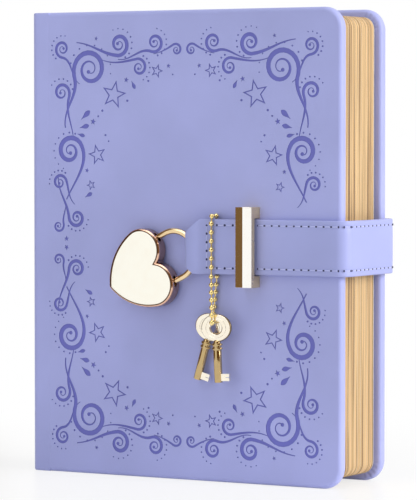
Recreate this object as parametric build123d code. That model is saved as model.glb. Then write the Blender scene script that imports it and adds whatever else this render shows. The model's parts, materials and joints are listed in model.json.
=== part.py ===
from build123d import *
import os
from math import asin, ceil, cos, degrees, hypot, radians, sin, sqrt

# A locking diary that stands on its tail: lavender leathercloth case, gilt page block,
# sewn strap under a brass clasp, heart padlock, bead chain and two pipe keys.
# All lengths are in millimetres. While the pieces are made, x = 0 is the middle of
# the case width, y = 0 the middle of its thickness (the front cover faces -y) and
# z = 0 the tail. The finished pieces are moved to the bottom centre of the whole.

# Driving dimensions of the case
HEIGHT = 190.0
WIDTH = 145.0
THICKNESS = 39.0
LEATHER = 0.8
BOARD = 3.0
COVER_CORNER = 8.5
COVER_EDGE = 1.6
BOARD_EDGE = 0.5
TURN_IN = 13.0
JOINT_WIDTH = 5.5
JOINT_OFFSET = 3.0
SPINE_CORNER = 2.6
SPINE_CARD = 1.0

# Driving dimensions of the page block
SQUARE = 3.1
PAGE_CORNER = 5.0
PAPER = 0.25
LEAF_GAP = 0.15
PASTEDOWN_GAP = 0.2
PASTEDOWN_MARGIN = 4.0
SECTIONS = 10
MULL = 0.4
HOLLOW = 0.2
LEAF_START = 10.5
LEAVES = 3
HEADBAND = 1.0

# Driving dimensions of the strap
STRAP_WIDTH = 22.0
STRAP_HEIGHT = 95.0
STRAP_LEATHER = 1.2
STRAP_LINING = 0.9
STRAP_CLEAR = 0.3
STRAP_STAND_OFF = 1.6
STRAP_BEND = 5.0
ANCHOR_LENGTH = 38.0
ANCHOR_CORNER = 4.0
STRAP_LIFT = 2.0
RAMP_CLEAR = 0.4
RAMP_LENGTH = 8.0
SEAM_LENGTH = 9.5
LOOP_LENGTH = 6.5
LOOP_HEIGHT = 2.5
LOOP_LEATHER = 1.0
LOOP_RISE = 0.55
LOOP_TAPER = 0.3
TIP_LENGTH = 24.5
TIP_CUT_TOP = 7.6
TIP_CUT_BOTTOM = 4.4
TIP_CUT_HIGH = 5.9
TIP_CUT_LOW = 3.3
FOLD_TOP = 1.8
STITCH_LENGTH = 2.2
STITCH_PITCH = 3.25
STITCH_THREAD = 0.45
STITCH_MARGIN = 2.4

# Driving dimensions of the clasp
CLASP_REACH = 36.6
CLASP_WIDTH = 7.4
CLASP_STRAP_CLEAR = 0.5
CLASP_FOOT = 4.5
CLASP_OPENING = 4.4
CLASP_EDGE = 6.8
CLASP_RIDGE = 7.6
SCREW_RADIUS = 1.25
SCREW_HOLE = 1.35
THREAD_CLEAR = 0.03
SCREW_HEAD = 2.3
SCREW_HEAD_HEIGHT = 0.9
SCREW_DEPTH = 3.4
WASHER_RADIUS = 2.7
WASHER = 0.4

# Driving dimensions of the padlock
LOCK_TILT = 25.0
BOW_RADIUS = 9.7
BOW_DROP = 3.7
BOW_PAST = 5.5
WIRE = 1.0
CASE_THICKNESS = 5.6
CASE_WALL = 0.8
CASE_EDGE = 0.7
LOBE_RADIUS = 8.9
LOBE_OFFSET = 7.55
LOBE_DEPTH = 12.6
HEART_SIDE = 25.5
CROWN_TURN = 55.0
CLEFT_ROUND = 0.8
HEART_TIP = 32.5
PLATE_CLEAR = 0.05
LEG_SLOT = 4.4
LEG_CLEAR = 0.08
HEEL_LENGTH = 19.0
TOE_LENGTH = 11.5
LEG_BORE_SPARE = 1.0
FRAME_START = 5.9
FRAME_END = 24.2
FRAME_HALF = 12.4
RELEASE = 8.0
LATCH_RATIO = 0.25
NOTCH_START = 7.0
NOTCH_FLAT = 1.4
NOTCH_DEPTH = 0.8
LATCH_CLEAR = 0.1
LATCH_LENGTH = 4.2
LATCH_WIDTH = 2.2
LATCH_THICK = 1.8
CHANNEL_END = 2.1
SPRING_LEAF = 0.3
SPRING_LEAVES = 4
POST_RADIUS = 0.65
POST_X = 17.7
KEY_POCKET = 5.5
KEYHOLE_RADIUS = 1.9
KEYHOLE_SLOT = 1.3
RIVET_RADIUS = 0.7
RIVET_HEAD = 1.15
RIVET_HEAD_HEIGHT = 0.4
RIVET_CLEAR = 0.03

# Driving dimensions of the bead chain and the keys
CHAIN_SETBACK = 12.8
BEAD = 1.05
CHAIN_LINK = 0.3
BEAD_PITCH = 3.6
CHAIN_CLEAR = 0.15
CHAIN_PIVOT_DROP = 1.0
KEY_BOW = 5.5
KEY_BOW_SIDE = 6.8
KEY_HOLE = 2.65
KEY_BOW_THICK = 1.4
KEY_BARREL = 1.65
KEY_BORE = 0.75
KEY_BORE_DEPTH = 9.0
KEY_LENGTH = 21.9
KEY_COLLAR = 2.25
KEY_COLLAR_HEIGHT = 0.8
KEY_BIT_REACH = 3.6
KEY_BIT_HEIGHT = 2.9
KEY_BIT_THICK = 1.1
KEY_BIT_RISE = 0.6
KEY_WARD = 0.5
KEY_GAP = 0.1
KEY_HANG = 18.3
KEY_HANG_SPREAD = 1.8
FRONT_KEY_LEAN = 2.5
REAR_KEY_LEAN = -16.0
FRONT_KEY_SHIFT = 1.0
REAR_KEY_SHIFT = 0.5

# Places worked out from the driving dimensions
COVER = BOARD + 2.0 * LEATHER
FRONT_FACE = -THICKNESS / 2.0
BACK_FACE = THICKNESS / 2.0
SPINE_X = -WIDTH / 2.0
FORE_X = WIDTH / 2.0
JOINT_START = SPINE_X + JOINT_OFFSET
BOARD_START = JOINT_START + JOINT_WIDTH
COVER_INSIDE = FRONT_FACE + COVER
BLOCK_X = SPINE_X + LEATHER + SPINE_CARD + HOLLOW + MULL
PAGE_FORE = FORE_X - SQUARE
LEAF_X = SPINE_X + LEAF_START
LEAF_Y = COVER_INSIDE + PAPER + PASTEDOWN_GAP
BLOCK_FRONT = LEAF_Y + LEAVES * (PAPER + LEAF_GAP)
BLOCK_BACK = BACK_FACE - COVER - PAPER - PASTEDOWN_GAP - PAPER
STRAP = STRAP_LEATHER + STRAP_LINING
STRAP_BOTTOM = STRAP_HEIGHT - STRAP_WIDTH / 2.0
STRAP_TOP = STRAP_HEIGHT + STRAP_WIDTH / 2.0
STRAP_FRONT = FRONT_FACE - STRAP_CLEAR - STRAP
STRAP_BACK = BACK_FACE + STRAP
STRAP_OUT = FORE_X + STRAP_STAND_OFF + STRAP
CLASP_RIGHT = FORE_X - CLASP_REACH
CLASP_LEFT = CLASP_RIGHT - CLASP_WIDTH
CLASP_LENGTH = STRAP_WIDTH + 2.0 * (CLASP_STRAP_CLEAR + CLASP_FOOT)
CLASP_BOTTOM = STRAP_HEIGHT - CLASP_LENGTH / 2.0
CLASP_TOP = STRAP_HEIGHT + CLASP_LENGTH / 2.0
TIP_REACH = CLASP_REACH + CLASP_WIDTH + TIP_LENGTH
RAMP_START = CLASP_REACH + CLASP_WIDTH + RAMP_CLEAR
RAMP_END = RAMP_START + RAMP_LENGTH
LOOP_SEAM = TIP_REACH - SEAM_LENGTH
LOOP_SHOULDER = TIP_REACH - LOOP_LENGTH
LIFTED = STRAP_CLEAR + STRAP_LIFT
LOOP_MIDDLE = LIFTED + STRAP / 2.0 + LOOP_RISE
LOCK_PLANE_Y = FRONT_FACE - LOOP_MIDDLE
BOW_X = FORE_X - TIP_REACH - BOW_PAST
BOW_Z = STRAP_HEIGHT - BOW_DROP
CHAIN_X = FORE_X - TIP_REACH + CHAIN_SETBACK
CHAIN_BACK = LIFTED - CHAIN_CLEAR - BEAD
CHAIN_FRONT = LIFTED + STRAP + CHAIN_CLEAR + BEAD
CHAIN_PIVOT_Z = STRAP_BOTTOM - CHAIN_PIVOT_DROP
REAR_KEY_DEPTH = CHAIN_BACK + BEAD + CHAIN_CLEAR + KEY_BOW_THICK / 2.0
FRONT_KEY_DEPTH = REAR_KEY_DEPTH + 2.0 * KEY_BARREL + KEY_GAP
CHAIN_OUTER = FRONT_KEY_DEPTH + KEY_BOW_THICK / 2.0 + CHAIN_CLEAR + BEAD
KEY_PIVOT_Z = CHAIN_PIVOT_Z - KEY_HANG
FRONT_REACH = CHAIN_OUTER + BEAD
CENTRE_X = (SPINE_X + STRAP_OUT) / 2.0
CENTRE_Y = (FRONT_FACE - FRONT_REACH + STRAP_BACK) / 2.0


def save(name, shape):
    """Write one piece's solids, moved so that the bottom centre of the whole is the origin."""
    solids = [Pos(-CENTRE_X, -CENTRE_Y, 0.0) * solid for solid in shape.solids()]
    export_step(Compound(children=solids), f"parts/{name}.step")


def group(solids):
    """Several like solids kept apart in one piece."""
    return Compound(children=list(solids))


def block(x0, x1, y0, y1, z0, z1):
    """A box between two corners."""
    low = (Align.MIN, Align.MIN, Align.MIN)
    return Pos(x0, y0, z0) * Box(x1 - x0, y1 - y0, z1 - z0, align=low)


def upright(outline, y0, y1):
    """An x-z outline made into a slab between two depths."""
    return extrude(Plane.XZ.offset(-y1) * outline, y1 - y0)


def panel(x0, x1, margin, y0, y1, corner):
    """A slab of the cover's height less a margin, with round fore-edge corners."""
    outline = Pos((x0 + x1) / 2.0, HEIGHT / 2.0) * Rectangle(x1 - x0, HEIGHT - 2.0 * margin)
    outline = fillet(outline.vertices().group_by(Axis.X)[-1], corner)
    return upright(outline, y0, y1)


def rounded_panel(x0, x1, margin, y0, y1, corner, edge):
    """A panel whose long edges are rounded, except along the spine side."""
    slab = panel(x0, x1, margin, y0, y1, corner)
    faces = slab.faces().filter_by(Axis.Y)
    rims = [e for f in faces for e in f.edges() if e.center().X > x0 + edge]
    return fillet(rims, edge)


def rod(start, end, radius):
    """A round bar from one point to another."""
    direction = Vector(*end) - Vector(*start)
    return extrude(Plane(origin=start, z_dir=direction) * Circle(radius), direction.length)


# The case: two covers and a spine


def clasp_screw_heights():
    """Heights of the two screws, in the middle of the clasp's feet."""
    return [CLASP_BOTTOM + CLASP_FOOT / 2.0, CLASP_TOP - CLASP_FOOT / 2.0]


def clasp_holes(radius, y0, y1):
    """Two round bars along y at the clasp's screws."""
    x = (CLASP_LEFT + CLASP_RIGHT) / 2.0
    return [rod((x, y0, z), (x, y1, z), radius) for z in clasp_screw_heights()]


def front_board():
    """Grey board with rounded edges."""
    return rounded_panel(BOARD_START, FORE_X - LEATHER, LEATHER, FRONT_FACE + LEATHER,
                         FRONT_FACE + LEATHER + BOARD, COVER_CORNER - LEATHER, BOARD_EDGE)


def front_leather():
    """Leather drawn over the board and turned in round three sides of its inner face."""
    skin = rounded_panel(BOARD_START, FORE_X, 0.0, FRONT_FACE, COVER_INSIDE, COVER_CORNER, COVER_EDGE)
    opening = panel(BOARD_START, FORE_X - TURN_IN, TURN_IN, COVER_INSIDE - LEATHER, COVER_INSIDE, LEATHER)
    return skin - front_board() - opening


def front_pastedown():
    """Endpaper glued over the turn-ins and down onto the board between them."""
    top = COVER_INSIDE + PAPER
    inner = COVER_INSIDE - LEATHER
    end = FORE_X - TURN_IN
    over = panel(BOARD_START, FORE_X - PASTEDOWN_MARGIN, PASTEDOWN_MARGIN, COVER_INSIDE, top, PAGE_CORNER)
    tray = panel(BOARD_START, end, TURN_IN, inner, top, LEATHER)
    hollow = panel(BOARD_START, end - PAPER, TURN_IN + PAPER, inner + PAPER, top, LEATHER)
    return over + tray - hollow


def board_with_screw_seats():
    """The front board, bored and recessed from inside for the clasp's screws."""
    board = front_board()
    inside = FRONT_FACE + LEATHER + BOARD
    for hole in clasp_holes(SCREW_HOLE, FRONT_FACE, COVER_INSIDE):
        board -= hole
    for seat in clasp_holes(WASHER_RADIUS, inside - SCREW_HEAD_HEIGHT - WASHER, inside):
        board -= seat
    return board


def leather_with_screw_holes():
    """The front leather, pierced for the clasp's screws."""
    skin = front_leather()
    for hole in clasp_holes(SCREW_HOLE, FRONT_FACE - LEATHER, FRONT_FACE + LEATHER):
        skin -= hole
    return skin


def spine_leather():
    """Leather round the spine, with the static joint that leads to the back cover."""
    depth = BOARD_START - SPINE_X + WIDTH / 2.0

    def shape(inset):
        outline = Pos(SPINE_X + inset + depth / 2.0, 0.0) * Rectangle(depth, THICKNESS - 2.0 * inset)
        return fillet(outline.vertices().group_by(Axis.X)[0], SPINE_CORNER - inset)

    wall = extrude(shape(0.0) - shape(LEATHER), HEIGHT)
    front_part = block(SPINE_X, JOINT_START, FRONT_FACE, 0.0, 0.0, HEIGHT)
    back_part = block(SPINE_X, BOARD_START, 0.0, BACK_FACE, 0.0, HEIGHT)
    return wall & (front_part + back_part)


def spine_card():
    """Card strip that stiffens the spine."""
    x0 = SPINE_X + LEATHER
    reach = THICKNESS / 2.0 - SPINE_CORNER - LEATHER
    return block(x0, x0 + SPINE_CARD, -reach, reach, LEATHER, HEIGHT - LEATHER)


# The page block


def leaf(number):
    """One free leaf in front of the sections, counted from the front cover."""
    y = LEAF_Y + number * (PAPER + LEAF_GAP)
    return panel(LEAF_X, PAGE_FORE, SQUARE, y, y + PAPER, PAGE_CORNER)


def section(number):
    """One sewn section of gilt-edged pages."""
    pitch = (BLOCK_BACK - BLOCK_FRONT) / SECTIONS
    y = BLOCK_FRONT + number * pitch
    return panel(BLOCK_X, PAGE_FORE, SQUARE, y, y + pitch, PAGE_CORNER)


def end_band(z, up):
    """Half-round cloth band at one end of the block's back."""
    x = BLOCK_X + HEADBAND
    band = rod((x, BLOCK_FRONT, z), (x, BLOCK_BACK, z), HEADBAND)
    half = block(BLOCK_X, x + HEADBAND, BLOCK_FRONT, BLOCK_BACK, z - HEADBAND, z)
    return band - half if up else band & half


# The strap


def strap_ring(outer, inner):
    """A layer of the strap where it wraps the fore-edge, between two depths."""

    def shape(inset):
        width = WIDTH + STRAP_STAND_OFF + STRAP - inset
        depth = STRAP_BACK - STRAP_FRONT - 2.0 * inset
        middle = (STRAP_BACK + STRAP_FRONT) / 2.0
        outline = Pos(STRAP_OUT - inset - width / 2.0, middle) * Rectangle(width, depth)
        return fillet(outline.vertices().group_by(Axis.X)[-1], STRAP_BEND - inset)

    return Pos(0.0, 0.0, STRAP_BOTTOM) * extrude(shape(outer) - shape(inner), STRAP_WIDTH)


def strap_span(part):
    """The space that one stretch of the strap takes up."""
    bend_x = STRAP_OUT - STRAP_BEND
    bend_front = STRAP_FRONT + STRAP_BEND
    if part == "anchor":
        outline = Pos(bend_x - ANCHOR_LENGTH / 2.0, STRAP_HEIGHT) * Rectangle(ANCHOR_LENGTH, STRAP_WIDTH)
        outline = fillet(outline.vertices().group_by(Axis.X)[0], ANCHOR_CORNER)
        return upright(outline, 0.0, STRAP_BACK)
    if part == "wrap":
        return block(bend_x, STRAP_OUT, bend_front, STRAP_BACK, STRAP_BOTTOM, STRAP_TOP)
    return block(CLASP_RIGHT, STRAP_OUT, STRAP_FRONT, bend_front, STRAP_BOTTOM, STRAP_TOP)


def strap_layer(part, layer):
    """Outer leather or lining of one stretch of the strap."""
    if layer == "leather":
        return strap_ring(0.0, STRAP_LEATHER) & strap_span(part)
    return strap_ring(STRAP_LEATHER, STRAP) & strap_span(part)


def tip_lift(x):
    """How far the strap's back stands off the cover at a place left of the clasp."""
    ramp_start = FORE_X - RAMP_START
    ramp_end = FORE_X - RAMP_END
    share = min(max((ramp_start - x) / (ramp_start - ramp_end), 0.0), 1.0)
    return STRAP_CLEAR + share * STRAP_LIFT


def tip_strip(inner, outer):
    """A flat layer of the strap's end, from the clasp's right side to the loop's seam."""
    stops = [CLASP_RIGHT, FORE_X - RAMP_START, FORE_X - RAMP_END, FORE_X - LOOP_SEAM]
    near = [(x, FRONT_FACE - tip_lift(x) - inner) for x in stops]
    far = [(x, FRONT_FACE - tip_lift(x) - outer) for x in reversed(stops)]
    return make_face(Polyline(near + far, close=True))


def loop_outline(inset):
    """Section of the folded loop: a round nose that narrows to the cross seam."""
    half = LOOP_HEIGHT / 2.0 + LOOP_LEATHER - inset
    nose = FORE_X - TIP_REACH + LOOP_HEIGHT / 2.0 + LOOP_LEATHER
    shoulder = FORE_X - LOOP_SHOULDER - LOOP_TAPER * inset
    seam = FORE_X - LOOP_SEAM - LOOP_TAPER * inset
    front = LOCK_PLANE_Y - half
    back = LOCK_PLANE_Y + half
    seam_front = FRONT_FACE - LIFTED - STRAP + inset * STRAP / (2.0 * LOOP_LEATHER)
    seam_back = FRONT_FACE - LIFTED - inset * STRAP / (2.0 * LOOP_LEATHER)
    lines = [Line((nose, front), (shoulder, front)), Line((shoulder, front), (seam, seam_front))]
    if seam_back - seam_front > 0.01:
        lines.append(Line((seam, seam_front), (seam, seam_back)))
    lines.append(Line((seam, seam_back), (shoulder, back)))
    lines.append(Line((shoulder, back), (nose, back)))
    lines.append(ThreePointArc((nose, back), (nose - half, LOCK_PLANE_Y), (nose, front)))
    return make_face(Wire(lines))


def tip_outline():
    """Front view of the strap's end, with its corners cut away and rounded."""
    tip = FORE_X - TIP_REACH
    points = [(CLASP_RIGHT, STRAP_BOTTOM), (CLASP_RIGHT, STRAP_TOP), (tip + TIP_CUT_TOP, STRAP_TOP),
              (tip, STRAP_TOP - TIP_CUT_HIGH), (tip, STRAP_BOTTOM + TIP_CUT_LOW),
              (tip + TIP_CUT_BOTTOM, STRAP_BOTTOM)]
    return make_face(Polyline(points, close=True))


def strap_tip_leather():
    """Outer leather of the strap's end, folded back on itself into the shackle's loop."""
    flat = extrude(tip_strip(STRAP_LINING, STRAP), STRAP_WIDTH)
    loop = extrude(loop_outline(0.0) - loop_outline(LOOP_LEATHER), STRAP_WIDTH)
    leather = Pos(0.0, 0.0, STRAP_BOTTOM) * (flat + loop)
    nose = FORE_X - TIP_REACH + LOOP_HEIGHT / 2.0 + LOOP_LEATHER
    half = LOOP_HEIGHT / 2.0
    mouth = block(FORE_X - TIP_REACH, nose, LOCK_PLANE_Y - half, LOCK_PLANE_Y + half,
                  STRAP_HEIGHT + FOLD_TOP, STRAP_TOP)
    return leather & upright(tip_outline(), STRAP_FRONT - CLASP_RIDGE, FRONT_FACE) - mouth


def strap_tip_lining():
    """Lining of the strap's end, butted against the folded leather at the seam."""
    return Pos(0.0, 0.0, STRAP_BOTTOM) * extrude(tip_strip(0.0, STRAP_LINING), STRAP_WIDTH)


def stitch(x, y, z, turn, upright_turn=0.0):
    """One stitch lying on the strap, at the middle of its underside."""
    middle = (Align.CENTER, Align.MAX, Align.CENTER)
    thread = Box(STITCH_LENGTH, STITCH_THREAD, STITCH_THREAD, align=middle)
    return Pos(x, y, z) * Rot(0.0, 0.0, turn) * Rot(0.0, upright_turn, 0.0) * thread


def stitch_rows():
    """Heights of the two rows of stitching."""
    return [STRAP_BOTTOM + STITCH_MARGIN, STRAP_TOP - STITCH_MARGIN]


def stitch_places(start, end):
    """Evenly spaced stitch centres along one stretch."""
    count = max(int((end - start) / STITCH_PITCH), 1)
    first = (start + end - (count - 1) * STITCH_PITCH) / 2.0
    return [first + i * STITCH_PITCH for i in range(count)]


def front_stitching():
    """Stitches on the front stretch, between the clasp and the bend."""
    places = stitch_places(CLASP_RIGHT, STRAP_OUT - STRAP_BEND)
    return group(stitch(x, STRAP_FRONT, z, 0.0) for z in stitch_rows() for x in places)


def wrap_stitching():
    """Stitches on the stretch along the fore-edge."""
    places = stitch_places(STRAP_FRONT + STRAP_BEND, STRAP_BACK - STRAP_BEND)
    return group(stitch(STRAP_OUT, y, z, 90.0) for z in stitch_rows() for y in places)


def anchor_stitching():
    """Stitches that hold the strap's other end to the back cover, with a cross row."""
    end = STRAP_OUT - STRAP_BEND
    inner = end - ANCHOR_LENGTH
    rows = [stitch(x, STRAP_BACK, z, 180.0) for z in stitch_rows()
            for x in stitch_places(inner + 2.0 * STITCH_MARGIN, end)]
    low, high = stitch_rows()
    for z in stitch_places(low, high):
        rows.append(stitch(inner + STITCH_MARGIN, STRAP_BACK, z, 180.0, 90.0))
    return group(rows)


def tip_stitching():
    """Stitches on the strap's end left of the clasp, with the loop's cross seam."""
    rows = []
    slope = degrees(asin(STRAP_LIFT / hypot(STRAP_LIFT, RAMP_END - RAMP_START)))
    for x in stitch_places(FORE_X - LOOP_SEAM + STITCH_LENGTH, CLASP_LEFT):
        level = tip_lift(x + STITCH_LENGTH) - tip_lift(x - STITCH_LENGTH)
        if abs(x - CHAIN_X) < BEAD + STITCH_LENGTH / 2.0:
            continue
        turn = slope if abs(level) > STRAP_CLEAR else 0.0
        y = FRONT_FACE - max(tip_lift(x - STITCH_LENGTH / 2.0), tip_lift(x + STITCH_LENGTH / 2.0)) - STRAP
        if turn:
            y = FRONT_FACE - tip_lift(x) - STRAP - STITCH_THREAD / 4.0
        rows += [stitch(x, y, z, turn) for z in stitch_rows()]
    low, high = stitch_rows()
    x = FORE_X - LOOP_SEAM + STITCH_THREAD
    for z in stitch_places(low, high):
        rows.append(stitch(x, FRONT_FACE - LIFTED - STRAP, z, 0.0, 90.0))
    return group(rows)


# The clasp


def clasp_staple():
    """Brass bar on two feet, with a low roof-shaped front and blind holes for its screws."""
    middle = (CLASP_LEFT + CLASP_RIGHT) / 2.0
    roof = [(CLASP_LEFT, FRONT_FACE), (CLASP_RIGHT, FRONT_FACE), (CLASP_RIGHT, FRONT_FACE - CLASP_EDGE),
            (middle, FRONT_FACE - CLASP_RIDGE), (CLASP_LEFT, FRONT_FACE - CLASP_EDGE)]
    bar = Pos(0.0, 0.0, CLASP_BOTTOM) * extrude(make_face(Polyline(roof, close=True)), CLASP_LENGTH)
    gap = block(CLASP_LEFT, CLASP_RIGHT, FRONT_FACE - CLASP_OPENING, FRONT_FACE,
                CLASP_BOTTOM + CLASP_FOOT, CLASP_TOP - CLASP_FOOT)
    bar -= gap
    for hole in clasp_holes(SCREW_RADIUS + THREAD_CLEAR, FRONT_FACE - SCREW_DEPTH - THREAD_CLEAR, FRONT_FACE):
        bar -= hole
    return bar


def clasp_screws():
    """Two screws put in from inside the cover."""
    tip = FRONT_FACE - SCREW_DEPTH
    length = SCREW_DEPTH + LEATHER + BOARD
    under = length - SCREW_HEAD_HEIGHT
    half = [(0.0, 0.0), (SCREW_RADIUS, 0.0), (SCREW_RADIUS, under), (SCREW_HEAD, under), (SCREW_HEAD, length),
            (0.0, length)]
    screw = revolve(make_face(Polyline(half, close=True)), Axis.Y)
    middle = (CLASP_LEFT + CLASP_RIGHT) / 2.0
    return group(Pos(middle, tip, z) * screw for z in clasp_screw_heights())


def clasp_washers():
    """A washer under each screw head."""
    seat = FRONT_FACE + LEATHER + BOARD - SCREW_HEAD_HEIGHT
    rings = clasp_holes(WASHER_RADIUS, seat - WASHER, seat)
    bores = clasp_holes(SCREW_HOLE, seat - WASHER, seat)
    return group(ring - bore for ring, bore in zip(rings, bores))


# The padlock, made on a plane whose x axis runs from the bow's centre to the heart's tip

TILT = radians(LOCK_TILT)
LOCK = Plane(origin=(BOW_X, LOCK_PLANE_Y, BOW_Z), x_dir=(-cos(TILT), 0.0, -sin(TILT)), z_dir=(0.0, -1.0, 0.0))
HALF_CASE = CASE_THICKNESS / 2.0


def heart():
    """Heart outline: two lobes and two long arcs that meet in the tip."""
    reach = HEART_SIDE - LOBE_RADIUS
    span = hypot(HEART_TIP - LOBE_DEPTH, LOBE_OFFSET)
    along = (reach ** 2 - HEART_SIDE ** 2 + span ** 2) / (2.0 * span)
    across = sqrt(reach ** 2 - along ** 2)
    unit = ((HEART_TIP - LOBE_DEPTH) / span, -LOBE_OFFSET / span)
    side = (LOBE_DEPTH + along * unit[0] + across * unit[1], LOBE_OFFSET + along * unit[1] - across * unit[0])
    out = ((LOBE_DEPTH - side[0]) / reach, (LOBE_OFFSET - side[1]) / reach)
    tangent = (LOBE_DEPTH + LOBE_RADIUS * out[0], LOBE_OFFSET + LOBE_RADIUS * out[1])
    cleft = LOBE_DEPTH - sqrt(LOBE_RADIUS ** 2 - LOBE_OFFSET ** 2)
    turn = radians(CROWN_TURN)
    crown = (LOBE_DEPTH - LOBE_RADIUS * sin(turn), LOBE_OFFSET + LOBE_RADIUS * cos(turn))
    toward_tip = ((HEART_TIP - side[0] + tangent[0] - side[0]), (0.0 - side[1] + tangent[1] - side[1]))
    scale = HEART_SIDE / hypot(*toward_tip)
    middle = (side[0] + toward_tip[0] * scale, side[1] + toward_tip[1] * scale)
    lines = []
    for sign in (1.0, -1.0):
        join = (tangent[0], sign * tangent[1])
        lines.append(ThreePointArc((cleft, 0.0), (crown[0], sign * crown[1]), join))
        lines.append(ThreePointArc(join, (middle[0], sign * middle[1]), (HEART_TIP, 0.0)))
    outline = make_face(Wire(lines))
    return fillet(outline.vertices().sort_by(Axis.X)[:1], CLEFT_ROUND)


def heart_slab(inset, z0, z1):
    """The heart, drawn in by a wall, as a slab between two depths of the lock."""
    outline = heart()
    if inset > 0.0:
        outline = offset(outline, amount=-inset)
    return Pos(0.0, 0.0, z0) * extrude(outline, z1 - z0)


def leg_slots():
    """Openings in the case's wall where the shackle's legs go in."""
    depth = LOBE_DEPTH - LOBE_OFFSET
    slots = []
    for side in (-1.0, 1.0):
        outline = SlotOverall(LEG_SLOT, 2.0 * (WIRE + LEG_CLEAR))
        plane = Plane(origin=(0.0, side * BOW_RADIUS, 0.0), x_dir=(0.0, 1.0, 0.0), z_dir=(1.0, 0.0, 0.0))
        slots.append(extrude(plane * outline, FRAME_START + depth / 2.0))
    return slots


def padlock_shell():
    """Drawn heart-shaped cup, open at the back."""
    cup = heart_slab(0.0, -HALF_CASE, HALF_CASE)
    cup = fillet(cup.faces().sort_by(Axis.Z)[-1].edges(), CASE_EDGE)
    cup -= heart_slab(CASE_WALL, -HALF_CASE, HALF_CASE - CASE_WALL)
    for slot in leg_slots():
        cup -= slot
    return cup


def keyhole(radius, slot, reach, z0, z1):
    """Round hole with a slot, for the key's barrel and bit."""
    hole = rod((POST_X, 0.0, z0), (POST_X, 0.0, z1), radius)
    return hole + block(POST_X, POST_X + reach, -slot / 2.0, slot / 2.0, z0, z1)


def rivet_places():
    """Places of the three rivets in the lock."""
    aside = KEY_POCKET + 2.0 * RIVET_HEAD
    return [(POST_X, -aside), (POST_X, aside), (FRAME_START + KEY_POCKET, -RIVET_HEAD)]


def padlock_back():
    """Plate that closes the case, with the keyhole and the rivets' holes."""
    plate = heart_slab(CASE_WALL + PLATE_CLEAR, -HALF_CASE, -HALF_CASE + CASE_WALL)
    plate -= keyhole(KEYHOLE_RADIUS, KEYHOLE_SLOT, KEY_POCKET, -HALF_CASE, -HALF_CASE + CASE_WALL)
    for x, y in rivet_places():
        plate -= rod((x, y, -HALF_CASE), (x, y, -HALF_CASE + CASE_WALL), RIVET_RADIUS + RIVET_CLEAR)
    return plate


def latch_channel():
    """Straight groove in which the latch and its spring lie."""
    start = NOTCH_START + NOTCH_FLAT / 2.0 - LATCH_WIDTH / 2.0 - LATCH_CLEAR
    end = start + LATCH_WIDTH + 2.0 * LATCH_CLEAR
    half = LATCH_THICK / 2.0 + LATCH_CLEAR
    return block(start, end, CHANNEL_END, BOW_RADIUS, -half, half)


def padlock_frame():
    """Cast block in the case that guides the legs and the latch, with room for the key."""
    inner = HALF_CASE - CASE_WALL
    frame = heart_slab(CASE_WALL + PLATE_CLEAR, -inner, inner)
    frame &= block(FRAME_START, FRAME_END, -FRAME_HALF, FRAME_HALF, -inner, inner)
    bore = WIRE + LEG_CLEAR
    frame -= rod((0.0, -BOW_RADIUS, 0.0), (HEEL_LENGTH + LEG_BORE_SPARE, -BOW_RADIUS, 0.0), bore)
    frame -= rod((0.0, BOW_RADIUS, 0.0), (TOE_LENGTH + LEG_BORE_SPARE, BOW_RADIUS, 0.0), bore)
    frame -= latch_channel()
    frame -= rod((POST_X, 0.0, -inner), (POST_X, 0.0, inner), KEY_POCKET)
    for x, y in rivet_places():
        frame -= rod((x, y, -inner), (x, y, inner), RIVET_RADIUS + RIVET_CLEAR)
    return frame


def key_post():
    """Pin inside the case that the key's pipe slides over, on a foot under the front."""
    inner = HALF_CASE - CASE_WALL
    foot = rod((POST_X, 0.0, inner - CASE_WALL / 2.0), (POST_X, 0.0, inner), KEY_POCKET - PLATE_CLEAR)
    return foot + rod((POST_X, 0.0, -inner), (POST_X, 0.0, inner), POST_RADIUS)


def padlock_rivets():
    """Three rivets through the back plate and the frame."""
    inner = HALF_CASE - CASE_WALL
    rivets = []
    for x, y in rivet_places():
        shank = rod((x, y, -HALF_CASE), (x, y, inner), RIVET_RADIUS)
        head = rod((x, y, -HALF_CASE - RIVET_HEAD_HEIGHT), (x, y, -HALF_CASE), RIVET_HEAD)
        rivets.append(shank + head)
    return group(rivets)


def shackle():
    """Bent wire bow with a long heel leg and a notched toe leg."""
    bow = ThreePointArc((0.0, -BOW_RADIUS), (-BOW_RADIUS, 0.0), (0.0, BOW_RADIUS))
    heel = Line((HEEL_LENGTH, -BOW_RADIUS), (0.0, -BOW_RADIUS))
    toe = Line((0.0, BOW_RADIUS), (TOE_LENGTH, BOW_RADIUS))
    path = Wire([heel, bow, toe])
    wire = sweep(Plane(origin=(HEEL_LENGTH, -BOW_RADIUS, 0.0), z_dir=(-1.0, 0.0, 0.0)) * Circle(WIRE), path)
    edge = BOW_RADIUS - WIRE
    flank = NOTCH_DEPTH / LATCH_RATIO
    notch = [(NOTCH_START, edge - WIRE), (NOTCH_START, edge + NOTCH_DEPTH),
             (NOTCH_START + NOTCH_FLAT, edge + NOTCH_DEPTH),
             (NOTCH_START + NOTCH_FLAT + flank + WIRE / LATCH_RATIO, edge - WIRE)]
    cut = Pos(0.0, 0.0, -2.0 * WIRE) * extrude(make_face(Polyline(notch, close=True)), 4.0 * WIRE)
    return wire - cut


def latch():
    """Sliding bolt whose nose sits in the toe leg's notch."""
    start = NOTCH_START + NOTCH_FLAT / 2.0 - LATCH_WIDTH / 2.0
    top = BOW_RADIUS - WIRE - LATCH_CLEAR
    half = LATCH_THICK / 2.0
    body = block(start, start + LATCH_WIDTH, top - LATCH_LENGTH, top, -half, half)
    nose_start = NOTCH_START + LATCH_CLEAR
    nose_end = NOTCH_START + NOTCH_FLAT - 2.0 * LATCH_CLEAR
    return body + block(nose_start, nose_end, top, top + NOTCH_DEPTH, -half, half)


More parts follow.
